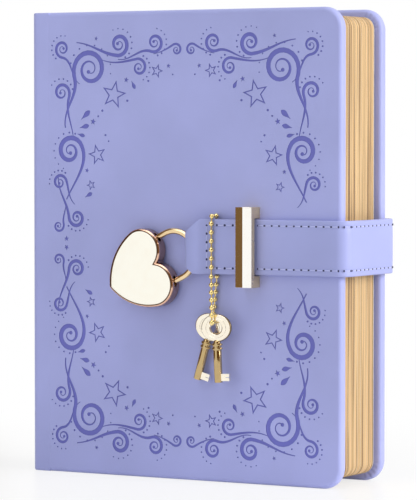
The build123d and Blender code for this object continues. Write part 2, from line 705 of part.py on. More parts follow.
def latch_spring():
    """Folded flat spring that presses the latch towards the toe leg."""
    left = NOTCH_START + NOTCH_FLAT / 2.0 - LATCH_WIDTH / 2.0
    right = left + LATCH_WIDTH
    top = BOW_RADIUS - WIRE - LATCH_CLEAR - LATCH_LENGTH
    half = LATCH_THICK / 2.0
    pitch = (top - CHANNEL_END - SPRING_LEAF) / (SPRING_LEAVES - 1)
    spring = block(left, right, CHANNEL_END, CHANNEL_END + SPRING_LEAF, -half, half)
    for i in range(SPRING_LEAVES - 1):
        low = CHANNEL_END + i * pitch
        high = low + pitch
        x = left if i % 2 == 0 else right - SPRING_LEAF
        spring += block(left, right, high, high + SPRING_LEAF, -half, half)
        spring += block(x, x + SPRING_LEAF, low, high, -half, half)
    return spring


# The bead chain


def bead_string(points, first_bead, last_bead):
    """Hollow beads on wire links along a bent line, evenly spaced."""
    corners = [Vector(*p) for p in points]
    lengths = [(b - a).length for a, b in zip(corners, corners[1:])]
    total = sum(lengths)
    count = max(ceil(total / BEAD_PITCH), 1)
    places = []
    for i in range(count + 1):
        rest = total * i / count
        for start, end, length in zip(corners, corners[1:], lengths):
            if rest <= length + 1e-6:
                places.append(start + (end - start) * (rest / length))
                break
            rest -= length
    chain = None
    for a, b in zip(places, places[1:]):
        link = rod(tuple(a), tuple(b), CHAIN_LINK)
        chain = link if chain is None else chain + link
    first = 0 if first_bead else 1
    last = count + 1 if last_bead else count
    for place in places[first:last]:
        chain = chain + Pos(*place) * Sphere(BEAD)
    return chain


def chain_loop():
    """The part of the chain that lies round the strap."""
    front = FRONT_FACE - CHAIN_FRONT
    back = FRONT_FACE - CHAIN_BACK
    over = STRAP_TOP + CHAIN_CLEAR + BEAD
    bottom = CHAIN_PIVOT_Z + CHAIN_LINK
    points = [(CHAIN_X, front, bottom), (CHAIN_X, front, over), (CHAIN_X, back, over),
              (CHAIN_X, back, bottom)]
    return bead_string(points, False, False)


def key_pivot(depth):
    """Where a key hangs on the chain."""
    side = KEY_HANG_SPREAD if depth == FRONT_KEY_DEPTH else -KEY_HANG_SPREAD
    return (CHAIN_X + side, FRONT_FACE - depth, KEY_PIVOT_Z)


def chain_drop():
    """The two hanging strands and the turn that goes through both keys."""
    front = FRONT_FACE - CHAIN_FRONT
    back = FRONT_FACE - CHAIN_BACK
    top = CHAIN_PIVOT_Z - CHAIN_LINK
    right = CHAIN_X + KEY_HANG_SPREAD
    left = CHAIN_X - KEY_HANG_SPREAD
    outer = FRONT_FACE - CHAIN_OUTER
    above = KEY_PIVOT_Z + KEY_BOW
    front_strand = bead_string([(CHAIN_X, front, top), (right, outer, above), (right, outer, KEY_PIVOT_Z)],
                               False, True)
    back_strand = bead_string([(CHAIN_X, back, top), (left, back, KEY_PIVOT_Z)], False, True)
    between = FRONT_FACE - (FRONT_KEY_DEPTH + REAR_KEY_DEPTH) / 2.0
    turn = rod((right, outer, KEY_PIVOT_Z), (right, between, KEY_PIVOT_Z), CHAIN_LINK)
    turn += rod((left, between, KEY_PIVOT_Z), (left, back, KEY_PIVOT_Z), CHAIN_LINK)
    turn += rod((left, between, KEY_PIVOT_Z), (right, between, KEY_PIVOT_Z), CHAIN_LINK)
    turn += Pos(right, between, KEY_PIVOT_Z) * Sphere(CHAIN_LINK)
    turn += Pos(left, between, KEY_PIVOT_Z) * Sphere(CHAIN_LINK)
    return front_strand + back_strand + turn


# The keys


def key_blank():
    """A pipe key, its bow's centre at the origin and its barrel down."""
    half = KEY_BOW_THICK / 2.0
    bow = extrude(Plane.XZ * Ellipse(KEY_BOW_SIDE, KEY_BOW), half, both=True)
    hole = rod((0.0, -half, 0.0), (0.0, half, 0.0), KEY_HOLE)
    neck = KEY_BOW - KEY_BOW_THICK
    barrel = rod((0.0, 0.0, -neck), (0.0, 0.0, -KEY_LENGTH), KEY_BARREL)
    barrel -= bow
    bore = rod((0.0, 0.0, -KEY_LENGTH + KEY_BORE_DEPTH), (0.0, 0.0, -KEY_LENGTH), KEY_BORE)
    key = bow - hole + barrel - bore
    collar_half = KEY_BARREL
    for i in range(2):
        z = -KEY_BOW - (2.0 * i + 1.0) * KEY_COLLAR_HEIGHT
        ring = rod((0.0, 0.0, z), (0.0, 0.0, z - KEY_COLLAR_HEIGHT), KEY_COLLAR)
        key += ring & block(-KEY_COLLAR, KEY_COLLAR, -collar_half, collar_half, z - KEY_COLLAR_HEIGHT, z)
    low = -KEY_LENGTH + KEY_BIT_RISE
    half_bit = KEY_BIT_THICK / 2.0
    bit = block(KEY_BARREL - CHAIN_LINK, KEY_BARREL + KEY_BIT_REACH, -half_bit, half_bit, low,
                low + KEY_BIT_HEIGHT)
    middle = low + KEY_BIT_HEIGHT / 2.0
    ward = block(KEY_BARREL + KEY_BIT_REACH / 2.0, KEY_BARREL + KEY_BIT_REACH, -half_bit, half_bit,
                 middle - KEY_WARD / 2.0, middle + KEY_WARD / 2.0)
    return key + (bit - ward)


def hung_key(depth, lean, shift):
    """A key hung by its hole on the chain, leaning to one side."""
    pivot = key_pivot(depth)
    drop = KEY_HOLE - 2.0 * CHAIN_LINK
    return Pos(*pivot) * Rot(0.0, -lean, 0.0) * Pos(shift, 0.0, -drop) * key_blank()


def main_pieces():
    """Write every piece of the diary."""
    save("front_cover_leather", leather_with_screw_holes())
    save("front_board", board_with_screw_seats())
    save("front_pastedown", front_pastedown())
    joint = block(JOINT_START, BOARD_START, FRONT_FACE, FRONT_FACE + LEATHER, 0.0, HEIGHT)
    save("front_joint_leather", joint)
    save("back_cover_leather", mirror(front_leather(), about=Plane.XZ))
    save("back_board", mirror(front_board(), about=Plane.XZ))
    save("back_pastedown", mirror(front_pastedown(), about=Plane.XZ))
    save("spine_leather", spine_leather())
    save("spine_card", spine_card())
    for number, name in enumerate(("front_flyleaf", "first_leaf", "second_leaf")):
        save(name, leaf(number))
    for number in range(SECTIONS):
        save(f"page_section_{number + 1:02d}", section(number))
    save("back_flyleaf", panel(BLOCK_X, PAGE_FORE, SQUARE, BLOCK_BACK, BLOCK_BACK + PAPER, PAGE_CORNER))
    save("spine_mull", block(BLOCK_X - MULL, BLOCK_X, BLOCK_FRONT, BLOCK_BACK, SQUARE, HEIGHT - SQUARE))
    save("headband", end_band(HEIGHT - SQUARE, True))
    save("tailband", end_band(SQUARE, False))
    for part in ("anchor", "wrap", "front"):
        save(f"strap_{part}_leather", strap_layer(part, "leather"))
        save(f"strap_{part}_lining", strap_layer(part, "lining"))
    save("strap_tip_leather", strap_tip_leather())
    save("strap_tip_lining", strap_tip_lining())
    save("strap_anchor_stitching", anchor_stitching())
    save("strap_wrap_stitching", wrap_stitching())
    save("strap_front_stitching", front_stitching())
    save("strap_tip_stitching", tip_stitching())
    save("clasp_staple", clasp_staple())
    save("clasp_screws", clasp_screws())
    save("clasp_washers", clasp_washers())
    for name, shape in (("padlock_shell", padlock_shell()), ("padlock_back", padlock_back()),
                        ("padlock_frame", padlock_frame()), ("padlock_key_post", key_post()),
                        ("padlock_rivets", padlock_rivets()), ("padlock_shackle", shackle()),
                        ("padlock_latch", latch()), ("padlock_latch_spring", latch_spring())):
        save(name, LOCK * shape)
    save("chain_loop", chain_loop())
    save("chain_drop", chain_drop())
    save("front_key", hung_key(FRONT_KEY_DEPTH, FRONT_KEY_LEAN, FRONT_KEY_SHIFT))
    save("rear_key", hung_key(REAR_KEY_DEPTH, REAR_KEY_LEAN, REAR_KEY_SHIFT))


os.makedirs("parts", exist_ok=True)
main_pieces()
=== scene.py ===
import json
import math
import random

import bmesh
import bpy
from mathutils import Matrix, Vector
from mathutils.geometry import delaunay_2d_cdt


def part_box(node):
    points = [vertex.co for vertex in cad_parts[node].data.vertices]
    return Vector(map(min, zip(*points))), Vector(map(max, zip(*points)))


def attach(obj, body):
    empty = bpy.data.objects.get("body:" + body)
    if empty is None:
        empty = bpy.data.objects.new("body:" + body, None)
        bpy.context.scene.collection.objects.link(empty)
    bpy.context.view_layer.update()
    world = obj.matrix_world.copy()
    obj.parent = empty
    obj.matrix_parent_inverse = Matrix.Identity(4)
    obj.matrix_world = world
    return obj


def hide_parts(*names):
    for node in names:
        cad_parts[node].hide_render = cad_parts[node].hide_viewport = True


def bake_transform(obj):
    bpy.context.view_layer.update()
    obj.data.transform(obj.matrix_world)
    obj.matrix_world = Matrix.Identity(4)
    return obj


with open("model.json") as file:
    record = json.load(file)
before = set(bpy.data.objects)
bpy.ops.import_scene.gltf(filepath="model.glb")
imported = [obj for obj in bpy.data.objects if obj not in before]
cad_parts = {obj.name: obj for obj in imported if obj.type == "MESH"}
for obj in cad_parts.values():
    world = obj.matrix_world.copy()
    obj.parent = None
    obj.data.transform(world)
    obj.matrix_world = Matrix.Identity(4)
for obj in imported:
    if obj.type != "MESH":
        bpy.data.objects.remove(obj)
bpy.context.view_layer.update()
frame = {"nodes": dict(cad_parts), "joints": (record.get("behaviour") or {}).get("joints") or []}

# The photographer's place: a long lens to the right of the diary's front, a little
# above its middle and tipped down, so that cover, page edges and strap all show.
MM = 0.001
cover_low, cover_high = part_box("front_cover_leather")
view_turn = math.radians(30.1)
view_ahead = Vector((-math.sin(view_turn), math.cos(view_turn), 0.0))
view_right = Vector((math.cos(view_turn), math.sin(view_turn), 0.0))
view_drop = math.radians(2.26)
fore_edge_corner = Vector((cover_high.x, cover_low.y, 0.0))
camera_left = 52.1 * MM
camera_back = 1201.0 * MM
camera_height = Vector((0.0, 0.0, 142.0 * MM))
camera_data = bpy.data.cameras.new("studio_camera")
camera_data.lens = 220.75
camera_data.sensor_width = 36.0
camera_data.clip_start = 0.05
camera = bpy.data.objects.new("studio_camera", camera_data)
camera.location = fore_edge_corner - camera_left * view_right - camera_back * view_ahead + camera_height
look = view_ahead * math.cos(view_drop) - Vector((0.0, 0.0, math.sin(view_drop)))
camera.rotation_euler = look.to_track_quat("-Z", "Y").to_euler()
bpy.context.collection.objects.link(camera)
bpy.context.scene.camera = camera
bpy.context.scene.view_settings.view_transform = "Standard"

# The studio: a white table and wall, four soft boxes, and two brown cards beside the
# diary that only the polished metal mirrors. None of it belongs to the diary.


def flat_card(name, centre, normal, width, height):
    """A rectangle that faces along normal."""
    mesh = bpy.data.meshes.new(name)
    w = width / 2.0
    h = height / 2.0
    mesh.from_pydata([(-w, -h, 0.0), (w, -h, 0.0), (w, h, 0.0), (-w, h, 0.0)], [], [(0, 1, 2, 3)])
    card = bpy.data.objects.new(name, mesh)
    card.location = centre
    card.rotation_euler = Vector(normal).to_track_quat("Z", "Y").to_euler()
    bpy.context.collection.objects.link(card)
    return card


def new_material(name):
    """An empty node material; returns the material, its nodes and its surface socket."""
    material = bpy.data.materials.new(name)
    material.use_nodes = True
    nodes = material.node_tree.nodes
    nodes.clear()
    return material, nodes, nodes.new("ShaderNodeOutputMaterial").inputs["Surface"]


def feed(value, socket):
    """Gives a socket a fixed value, or links it to another socket of its node tree."""
    if isinstance(value, bpy.types.NodeSocket):
        socket.id_data.links.new(value, socket)
    else:
        socket.default_value = value


def math_node(operation, first, second):
    """One arithmetic step on a socket and a socket or number."""
    step = first.id_data.nodes.new("ShaderNodeMath")
    step.operation = operation
    feed(first, step.inputs[0])
    feed(second, step.inputs[1])
    return step.outputs[0]


def map_range(value, source, target, curve="LINEAR"):
    """A value carried from one range to another and held at its ends."""
    step = value.id_data.nodes.new("ShaderNodeMapRange")
    step.interpolation_type = curve
    for label, limit in zip(("From Min", "From Max", "To Min", "To Max"), source + target):
        feed(limit, step.inputs[label])
    feed(value, step.inputs["Value"])
    return step.outputs["Result"]


def background_ray(nodes):
    """1 for the rays that show the background: the camera's own and those from mirrors and glass."""
    rays = nodes.new("ShaderNodeLightPath").outputs
    mirrored = math_node("MAXIMUM", rays["Is Glossy Ray"], rays["Is Transmission Ray"])
    return math_node("MAXIMUM", rays["Is Camera Ray"], mirrored)


table_size = 1.1
shadow_reach = (0.06, 0.3)
table_whitening = (0.75, 1.0)
table, nodes, surface = new_material("white_table")
paint = nodes.new("ShaderNodeBsdfPrincipled")
feed((0.93, 0.93, 0.94, 1.0), paint.inputs["Base Color"])
feed(0.3, paint.inputs["Roughness"])
glow = nodes.new("ShaderNodeEmission")
distance = nodes.new("ShaderNodeVectorMath")
distance.operation = "LENGTH"
feed(nodes.new("ShaderNodeTexCoord").outputs["Object"], distance.inputs[0])
fade = map_range(distance.outputs["Value"], shadow_reach, table_whitening, "SMOOTHSTEP")
both = nodes.new("ShaderNodeMixShader")
feed(math_node("MULTIPLY", fade, background_ray(nodes)), both.inputs["Fac"])
feed(paint.outputs[0], both.inputs[1])
feed(glow.outputs[0], both.inputs[2])
feed(both.outputs[0], surface)
floor = flat_card("white_table", (0.0, 0.0, 0.0), (0.0, 0.0, 1.0), table_size, table_size)
floor.data.materials.append(table)

world = bpy.data.worlds.new("white_room")
bpy.context.scene.world = world
world.use_nodes = True
nodes = world.node_tree.nodes
nodes.clear()
output = nodes.new("ShaderNodeOutputWorld")
pick = nodes.new("ShaderNodeMixShader")
feed(background_ray(nodes), pick.inputs["Fac"])
for slot, colour, strength in ((1, (1.0, 0.99, 0.98, 1.0), 0.4), (2, (1.0, 1.0, 1.0, 1.0), 1.0)):
    light = nodes.new("ShaderNodeBackground")
    feed(colour, light.inputs["Color"])
    feed(strength, light.inputs["Strength"])
    feed(light.outputs[0], pick.inputs[slot])
feed(pick.outputs[0], output.inputs["Surface"])

card_height = 0.6
brown_card, nodes, surface = new_material("brown_card")
# The cards are not lit: they glow a fixed dim brown, a dark surround seen only in mirror reflections.
card_glow = nodes.new("ShaderNodeEmission")
feed((0.18, 0.10, 0.036, 1.0), card_glow.inputs["Color"])
feed(card_glow.outputs[0], surface)
for name, centre, normal, width in (("left_card", (-0.36, -0.02, 0.3), (1.0, 0.0, 0.0), 0.82),
                                    ("right_card", (0.345, -0.289, 0.3), (-0.766, 0.643, 0.0), 0.755)):
    card = flat_card(name, centre, normal, width, card_height)
    card.data.materials.append(brown_card)
    card.visible_camera = False
    card.visible_diffuse = False
    card.visible_shadow = False


def soft_box(name, place, width, height, brightness, colour):
    """A rectangular lamp of an even brightness, aimed at the middle of the diary."""
    data = bpy.data.lights.new(name, "AREA")
    data.shape = "RECTANGLE"
    data.size = width
    data.size_y = height
    data.energy = brightness * math.pi * width * height
    data.color = colour
    lamp = bpy.data.objects.new(name, data)
    lamp.location = place
    aim = Vector((0.0, 0.0, 0.095)) - Vector(place)
    lamp.rotation_euler = aim.to_track_quat("-Z", "Y").to_euler()
    bpy.context.collection.objects.link(lamp)
    return lamp


front_box = soft_box("front_box", (-0.44, -1.54, 0.12), 1.5, 1.5, 1.0, (1.0, 0.985, 0.95))
front_box.visible_glossy = False
soft_box("key_box", (-0.25, -0.95, 1.25), 0.8, 0.8, 1.5, (1.0, 0.99, 0.97))
soft_box("side_box", (1.45, 0.0, 0.55), 0.6, 0.9, 12.5, (1.0, 0.98, 0.95))
soft_box("top_box", (0.2, -0.1, 1.5), 0.9, 0.9, 2.0, (1.0, 0.99, 0.97))

# The leathercloth: a lavender plastic skin on cloth, with a fine pressed grain and a soft
# sheen. Case and strap are cut from it.
surface_outputs = ("Colour", "Roughness", "Height")
whole = (0.0, 1.0)
noise_middle = (0.3, 0.7)


def node_group(name, inputs, outputs=surface_outputs):
    """A shader node group; returns it, the named sockets of its two ends and its coordinates."""
    group = bpy.data.node_groups.new(name, "ShaderNodeTree")
    kinds = {True: "NodeSocketColor", False: "NodeSocketFloat"}
    for label, value in inputs.items():
        kind = kinds[isinstance(value, tuple)]
        group.interface.new_socket(name=label, in_out="INPUT", socket_type=kind).default_value = value
    for label in outputs:
        group.interface.new_socket(name=label, in_out="OUTPUT", socket_type=kinds[label == "Colour"])
    start = group.nodes.new("NodeGroupInput")
    end = group.nodes.new("NodeGroupOutput")
    return group, start.outputs, end.inputs, group.nodes.new("ShaderNodeTexCoord").outputs["Object"]


def noise_node(vector, scale, detail):
    """Three-dimensional noise at a scale per metre."""
    noise = vector.id_data.nodes.new("ShaderNodeTexNoise")
    feed(scale, noise.inputs["Scale"])
    feed(detail, noise.inputs["Detail"])
    feed(vector, noise.inputs["Vector"])
    return noise.outputs["Fac"]


def mix_colours(share, first, second):
    """A blend of two colours by a share."""
    mix = share.id_data.nodes.new("ShaderNodeMix")
    mix.data_type = "RGBA"
    for value, socket in ((share, mix.inputs[0]), (first, mix.inputs[6]), (second, mix.inputs[7])):
        feed(value, socket)
    return mix.outputs[2]


def clouded(colour, noise, low, high):
    """A colour that noise makes darker and paler between two factors."""
    hue = colour.id_data.nodes.new("ShaderNodeHueSaturation")
    feed(map_range(noise, noise_middle, (low, high)), hue.inputs["Value"])
    feed(colour, hue.inputs["Color"])
    return hue.outputs["Color"]


def surfaced(name, group, values, relief_strength, relief_depth, constants):
    """A material with colour, gloss and relief from a node group; constants sit on the shader."""
    material, nodes, surface = new_material(name)
    shader = nodes.new("ShaderNodeBsdfPrincipled")
    pattern = nodes.new("ShaderNodeGroup")
    pattern.node_tree = group
    for label, value in values.items():
        feed(value, pattern.inputs[label])
    for label in pattern.outputs.keys():
        target = "Base Color" if label == "Colour" else label
        if target in shader.inputs and target not in constants:
            feed(pattern.outputs[label], shader.inputs[target])
    for label, value in constants.items():
        feed(value, shader.inputs[label])
    relief = nodes.new("ShaderNodeBump")
    feed(relief_strength, relief.inputs["Strength"])
    feed(relief_depth, relief.inputs["Distance"])
    feed(pattern.outputs["Height"], relief.inputs["Height"])
    feed(relief.outputs["Normal"], shader.inputs["Normal"])
    feed(shader.outputs[0], surface)
    return material


grain, start, end, place = node_group(
    "leather_grain", {"Colour": (0.36, 0.37, 0.67, 1.0), "Grain Size": 2600.0})
pebbles = grain.nodes.new("ShaderNodeTexVoronoi")
pebbles.feature = "SMOOTH_F1"
feed(0.6, pebbles.inputs["Smoothness"])
feed(place, pebbles.inputs["Vector"])
feed(start["Grain Size"], pebbles.inputs["Scale"])
creases = noise_node(place, 900.0, 5.0)
cloud = noise_node(place, 22.0, 3.0)
raised = math_node("MULTIPLY", pebbles.outputs["Distance"], 0.7)
feed(math_node("ADD", raised, creases), end["Height"])
feed(clouded(start["Colour"], cloud, 0.93, 1.07), end["Colour"])
feed(map_range(creases, whole, (0.40, 0.56)), end["Roughness"])


def leathercloth(name, colour, relief):
    """Leathercloth of one colour, with the pressed grain as a relief."""
    return surfaced(name, grain, {"Colour": colour}, relief, 0.06 * MM,
                    {"Specular IOR Level": 0.42, "Sheen Weight": 0.12, "Sheen Roughness": 0.4})


cover_leather = leathercloth("cover_leathercloth", (0.365, 0.398, 0.745, 1.0), 0.35)
pressed_leather = leathercloth("pressed_leathercloth", (0.14, 0.15, 0.52, 1.0), 0.2)
strap_leather = leathercloth("strap_leathercloth", (0.335, 0.37, 0.70, 1.0), 0.28)

# The two covers: grey board with leathercloth drawn over it, rounded at the edges and
# turned in 13 mm round the inner face, with small pleats where it goes round a corner.


def opened(mesh):
    """A mesh opened for work on its points and faces."""
    work = bmesh.new()
    work.from_mesh(mesh)
    return work


def put_back(work, mesh):
    """Ends the work on a mesh."""
    work.to_mesh(mesh)
    work.free()


def smooth_object(name, mesh, sharp):
    """An object in the scene, smooth except over edges that turn by more than sharp degrees."""
    mesh.shade_smooth()
    mesh.set_sharp_from_angle(angle=math.radians(sharp))
    piece = bpy.data.objects.new(name, mesh)
    bpy.context.collection.objects.link(piece)
    return piece


def mesh_piece(name, points, faces, materials, face_materials=None, sharp=30.0):
    """A mesh object from points and faces, smooth except over sharp edges."""
    mesh = bpy.data.meshes.new(name)
    mesh.from_pydata([tuple(p) for p in points], [], faces)
    for material in materials:
        mesh.materials.append(material)
    if face_materials is not None:
        mesh.polygons.foreach_set("material_index", face_materials)
    mesh.update()
    work = opened(mesh)
    bmesh.ops.remove_doubles(work, verts=work.verts, dist=1e-7)
    bmesh.ops.delete(work, geom=[v for v in work.verts if not v.link_faces], context="VERTS")
    bmesh.ops.recalc_face_normals(work, faces=work.faces)
    put_back(work, mesh)
    return smooth_object(name, mesh, sharp)


def quarter_turn(steps):
    """Even angles over a quarter of a turn."""
    return [math.pi / 2.0 * i / steps for i in range(steps + 1)]


edge_stops = 8
side_stops = 10
least_corner = 0.3 * MM


def open_outline(x0, x1, z0, z1, corner, inset, steps):
    """From the spine along the tail, round both fore-edge corners and back along the head."""
    radius = max(corner - inset, least_corner)
    right = x1 - inset - radius
    low = z0 + inset + radius
    high = z1 - inset - radius
    points = [(x0 + (right - x0) * i / edge_stops, z0 + inset) for i in range(edge_stops)]
    for turn in quarter_turn(steps):
        a = turn - math.pi / 2.0
        points.append((right + radius * math.cos(a), low + radius * math.sin(a)))
    points += [(x1 - inset, low + (high - low) * i / side_stops) for i in range(1, side_stops)]
    for a in quarter_turn(steps):
        points.append((right + radius * math.cos(a), high + radius * math.sin(a)))
    points += [(x0 + (right - x0) * i / edge_stops, z1 - inset) for i in reversed(range(edge_stops))]
    return points


def ring_faces(count, rings):
    """Faces between rings of points that follow each other."""
    faces = []
    for r in range(rings - 1):
        for i in range(count - 1):
            a = r * count + i
            faces.append((a, a + 1, a + count + 1, a + count))
    return faces


cover_thickness = cover_high.y - cover_low.y
edge_radius = 1.6 * MM
corner_radius = 8.5 * MM
turn_in = 13.0 * MM
skin_thickness = 0.8 * MM
rim_width = 0.2 * MM
corner_steps = 24
edge_steps = 6
pleats = 5.0
pleat_depth = 0.32 * MM
step_round = 0.25 * MM
step_lean = 0.05 * MM
head = cover_high.z
tail = cover_low.z


def cover_rings(x0, x1, outer_y, inward):
    """Rings of a cover from the rim of its outer face, over its edge, to the foot of the turn-in's step."""
    profile = [(edge_radius + rim_width, 0.0, 0.0)]
    for a in quarter_turn(edge_steps):
        profile.append((edge_radius * (1.0 - math.sin(a)), edge_radius * (1.0 - math.cos(a)), 0.0))
    for i, a in enumerate(quarter_turn(edge_steps)):
        profile.append((edge_radius * (1.0 - math.cos(a)),
                        cover_thickness - edge_radius * (1.0 - math.sin(a)), i / edge_steps))
    for inset, pleat in ((2.6, 1.0), (4.2, 0.9), (6.0, 0.5), (8.0, 0.0), (12.4, 0.0)):
        profile.append((inset * MM, cover_thickness, pleat))
    profile.append((turn_in, cover_thickness - step_round, 0.0))
    profile.append((turn_in + step_lean, cover_thickness - skin_thickness, 0.0))
    points = []
    for inset, depth, pleat in profile:
        outline = open_outline(x0, x1, tail, head, corner_radius, inset, corner_steps)
        for i, (x, z) in enumerate(outline):
            fold = 0.0
            for first in (edge_stops, edge_stops + corner_steps + side_stops):
                step = i - first
                if 0 <= step <= corner_steps:
                    wave = 0.5 - 0.5 * math.cos(2.0 * math.pi * pleats * step / corner_steps)
                    fold = pleat_depth * pleat * wave * math.sin(math.pi * step / corner_steps) ** 0.5
            points.append((x, outer_y + inward * (depth - fold), z))
    count = len(points) // len(profile)
    faces = ring_faces(count, len(profile))
    last = (len(profile) - 1) * count
    faces.append(tuple(range(last, last + count)))
    spine_side = [r * count for r in range(len(profile))]
    head_side = [r * count + count - 1 for r in range(len(profile))]
    faces.append(tuple(spine_side + head_side[::-1]))
    return points, faces, count


# The pressed border: scrolls, drops, dots and five-pointed stars stamped into the front
# with a hot die, a little darker than the skin. It is a plain scroll border of its own.
line_gain = 1.2
stem_reach = 1.15
stem_steps = 16
steps_per_turn = 22
wound_in = 0.84
winding_power = 0.85
dot_sides = 12
drop_steps = 10
star_waist = 0.42
star_line_gain = 2.8


def hermite(a, a_dir, b, b_dir, steps):
    """Points of a smooth curve from a to b that leaves and arrives along the given directions."""
    reach = stem_reach * math.dist(a, b)
    points = []
    for i in range(steps):
        t = i / steps
        weights = (2 * t ** 3 - 3 * t ** 2 + 1, reach * (t ** 3 - 2 * t ** 2 + t), 3 * t ** 2 - 2 * t ** 3,
                   reach * (t ** 3 - t ** 2))
        points.append(tuple(sum(w * p[k] for w, p in zip(weights, (a, a_dir, b, b_dir))) for k in (0, 1)))
    return points


def stroke(centre, widths):
    """A closed outline of a line that swells and tapers along its centre points."""
    left = []
    right = []
    for i, point in enumerate(centre):
        ahead = centre[min(i + 1, len(centre) - 1)]
        behind = centre[max(i - 1, 0)]
        dx = ahead[0] - behind[0]
        dy = ahead[1] - behind[1]
        half = line_gain * widths[i] / 2.0 / math.hypot(dx, dy)
        left.append((point[0] - dy * half, point[1] + dx * half))
        right.append((point[0] + dy * half, point[1] - dx * half))
    return left + right[::-1]


def dot(x, y, radius):
    """A round dot."""
    turns = [2.0 * math.pi * i / dot_sides for i in range(dot_sides)]
    return [(x + radius * math.cos(a), y + radius * math.sin(a)) for a in turns]


def scroll(eye, radius, first_turn, turns, root, heading, width, dots=0):
    """A stem from root that swells and winds up into a spiral round eye, with a bud and dots round it."""
    sign = math.copysign(1.0, turns)
    a0 = math.radians(first_turn)
    first = (eye[0] + radius * math.cos(a0), eye[1] + radius * math.sin(a0))
    first_dir = (-sign * math.sin(a0), sign * math.cos(a0))
    root_dir = (math.cos(math.radians(heading)), math.sin(math.radians(heading)))
    centre = hermite(root, root_dir, first, first_dir, stem_steps)
    steps = int(abs(turns) * steps_per_turn)
    for i in range(steps + 1):
        a = a0 + turns * 2.0 * math.pi * i / steps
        r = radius * (1.0 - wound_in * (i / steps) ** winding_power)
        centre.append((eye[0] + r * math.cos(a), eye[1] + r * math.sin(a)))
    count = len(centre)
    swell = [math.sin(math.pi * min(1.12 * i / count + 0.04, 1.0)) ** 1.7 for i in range(count)]
    shapes = [stroke(centre, [width * (0.22 + 0.78 * s) for s in swell])]
    shapes.append(dot(*centre[-1], 0.28 + 0.3 * width))
    for i in range(dots):
        a = a0 + sign * math.radians(35.0 + 22.0 * i)
        r = radius + 1.5 + 0.05 * i
        shapes.append(dot(eye[0] + r * math.cos(a), eye[1] + r * math.sin(a), 0.42 - 0.02 * i))
    return shapes


def star_points(x, y, radius, turn):
    """Corners of a five-pointed star."""
    corners = []
    for i in range(10):
        r = radius if i % 2 == 0 else radius * star_waist
        a = math.radians(turn + 36.0 * i)
        corners.append((x + r * math.sin(a), y + r * math.cos(a)))
    return corners


def open_star(x, y, radius, turn, line):
    """A five-pointed star drawn as a line round its outline."""
    outer = star_points(x, y, radius, turn)
    inner = star_points(x, y, radius - star_line_gain * line, turn)
    return [[outer[i], outer[i - 1], inner[i - 1], inner[i]] for i in range(10)]


def drop(x, y, heading, length, width):
    """A leaf-like drop, round at its far end."""
    along = (math.cos(math.radians(heading)), math.sin(math.radians(heading)))
    centre = []
    widths = []
    for i in range(drop_steps + 1):
        centre.append((x + along[0] * length * i / drop_steps, y + along[1] * length * i / drop_steps))
        widths.append(width * (0.1 + math.sin(math.pi * (i / drop_steps) ** 1.7 * 0.97)))
    return stroke(centre, widths)


corner_motif = []
corner_motif += scroll((27.0, -23.5), 8.2, 200.0, -1.9, (15.0, -47.5), 100.0, 1.7, 9)
corner_motif += scroll((13.2, -33.0), 4.0, -20.0, 1.6, (19.0, -52.5), 95.0, 1.1, 7)
corner_motif += scroll((13.6, -15.0), 3.6, -95.0, -1.7, (22.0, -29.5), 150.0, 1.0, 8)
corner_motif += scroll((41.0, -13.5), 4.6, -95.0, 1.7, (20.5, -12.5), -5.0, 1.4, 9)
corner_motif += scroll((50.5, -23.0), 3.6, 100.0, -1.6, (31.0, -19.0), -25.0, 1.0, 7)
corner_motif += scroll((58.0, -13.0), 3.9, 250.0, 1.7, (40.5, -19.6), -10.0, 1.1, 8)
corner_motif += scroll((68.2, -16.0), 2.5, 120.0, -1.5, (57.5, -17.6), 10.0, 0.8)
corner_motif += scroll((17.2, -57.0), 6.0, 35.0, 1.7, (15.5, -77.0), 62.0, 1.7, 9)
corner_motif += scroll((12.2, -70.0), 3.3, 20.0, 1.6, (19.5, -79.0), 140.0, 1.0, 7)
for x, y, heading, length, width in ((22.8, -44.0, 40.0, 5.4, 1.7), (22.0, -47.5, 12.0, 4.6, 1.5),
                                     (20.8, -50.0, -14.0, 3.8, 1.2), (47.0, -28.5, -62.0, 3.6, 1.2)):
    corner_motif.append(drop(x, y, heading, length, width))
for x, y, radius, turn, line in ((38.5, -34.0, 6.0, 12.0, 0.5), (30.5, -58.5, 4.4, -14.0, 0.42),
                                 (59.0, -24.5, 3.0, 18.0, 0.36), (27.5, -71.0, 2.3, -20.0, 0.32)):
    corner_motif += open_star(x, y, radius, turn, line)
for x, y, radius in ((28.5, -45.0, 1.4), (64.5, -22.5, 1.0), (25.5, -65.0, 1.0), (30.0, -11.0, 0.9),
                     (44.5, -28.0, 1.2)):
    corner_motif.append(star_points(x, y, radius, 10.0))
for x, y, radius in ((33.0, -40.5, 0.5), (31.0, -42.8, 0.4), (34.5, -50.5, 0.45), (36.0, -53.0, 0.35),
                     (45.0, -36.5, 0.5), (55.0, -28.5, 0.45), (66.5, -26.0, 0.35)):
    corner_motif.append(dot(x, y, radius))
side_motif = scroll((20.5, -84.5), 3.8, 185.0, 1.7, (11.5, -67.0), -95.0, 1.2, 7)
side_motif += scroll((11.6, -88.0), 2.6, 15.0, -1.5, (15.0, -78.0), -80.0, 0.8)
side_motif.append(drop(24.6, -76.0, 28.0, 3.8, 1.3))
side_motif.append(star_points(15.5, -93.2, 1.2, 0.0))

spine_margin = 6.9 * MM
border = []
for at_fore_edge in (False, True):
    for at_tail in (False, True):
        for shape in corner_motif + ([] if at_fore_edge else side_motif):
            placed = []
            for across, up in shape:
                x = cover_high.x - across * MM if at_fore_edge else cover_low.x - spine_margin + across * MM
                z = tail - up * MM if at_tail else head + up * MM
                placed.append((x, z))
            turning = sum(a[0] * b[1] - b[0] * a[1] for a, b in zip(placed, placed[1:] + placed[:1]))
            border.append(placed if turning > 0.0 else placed[::-1])

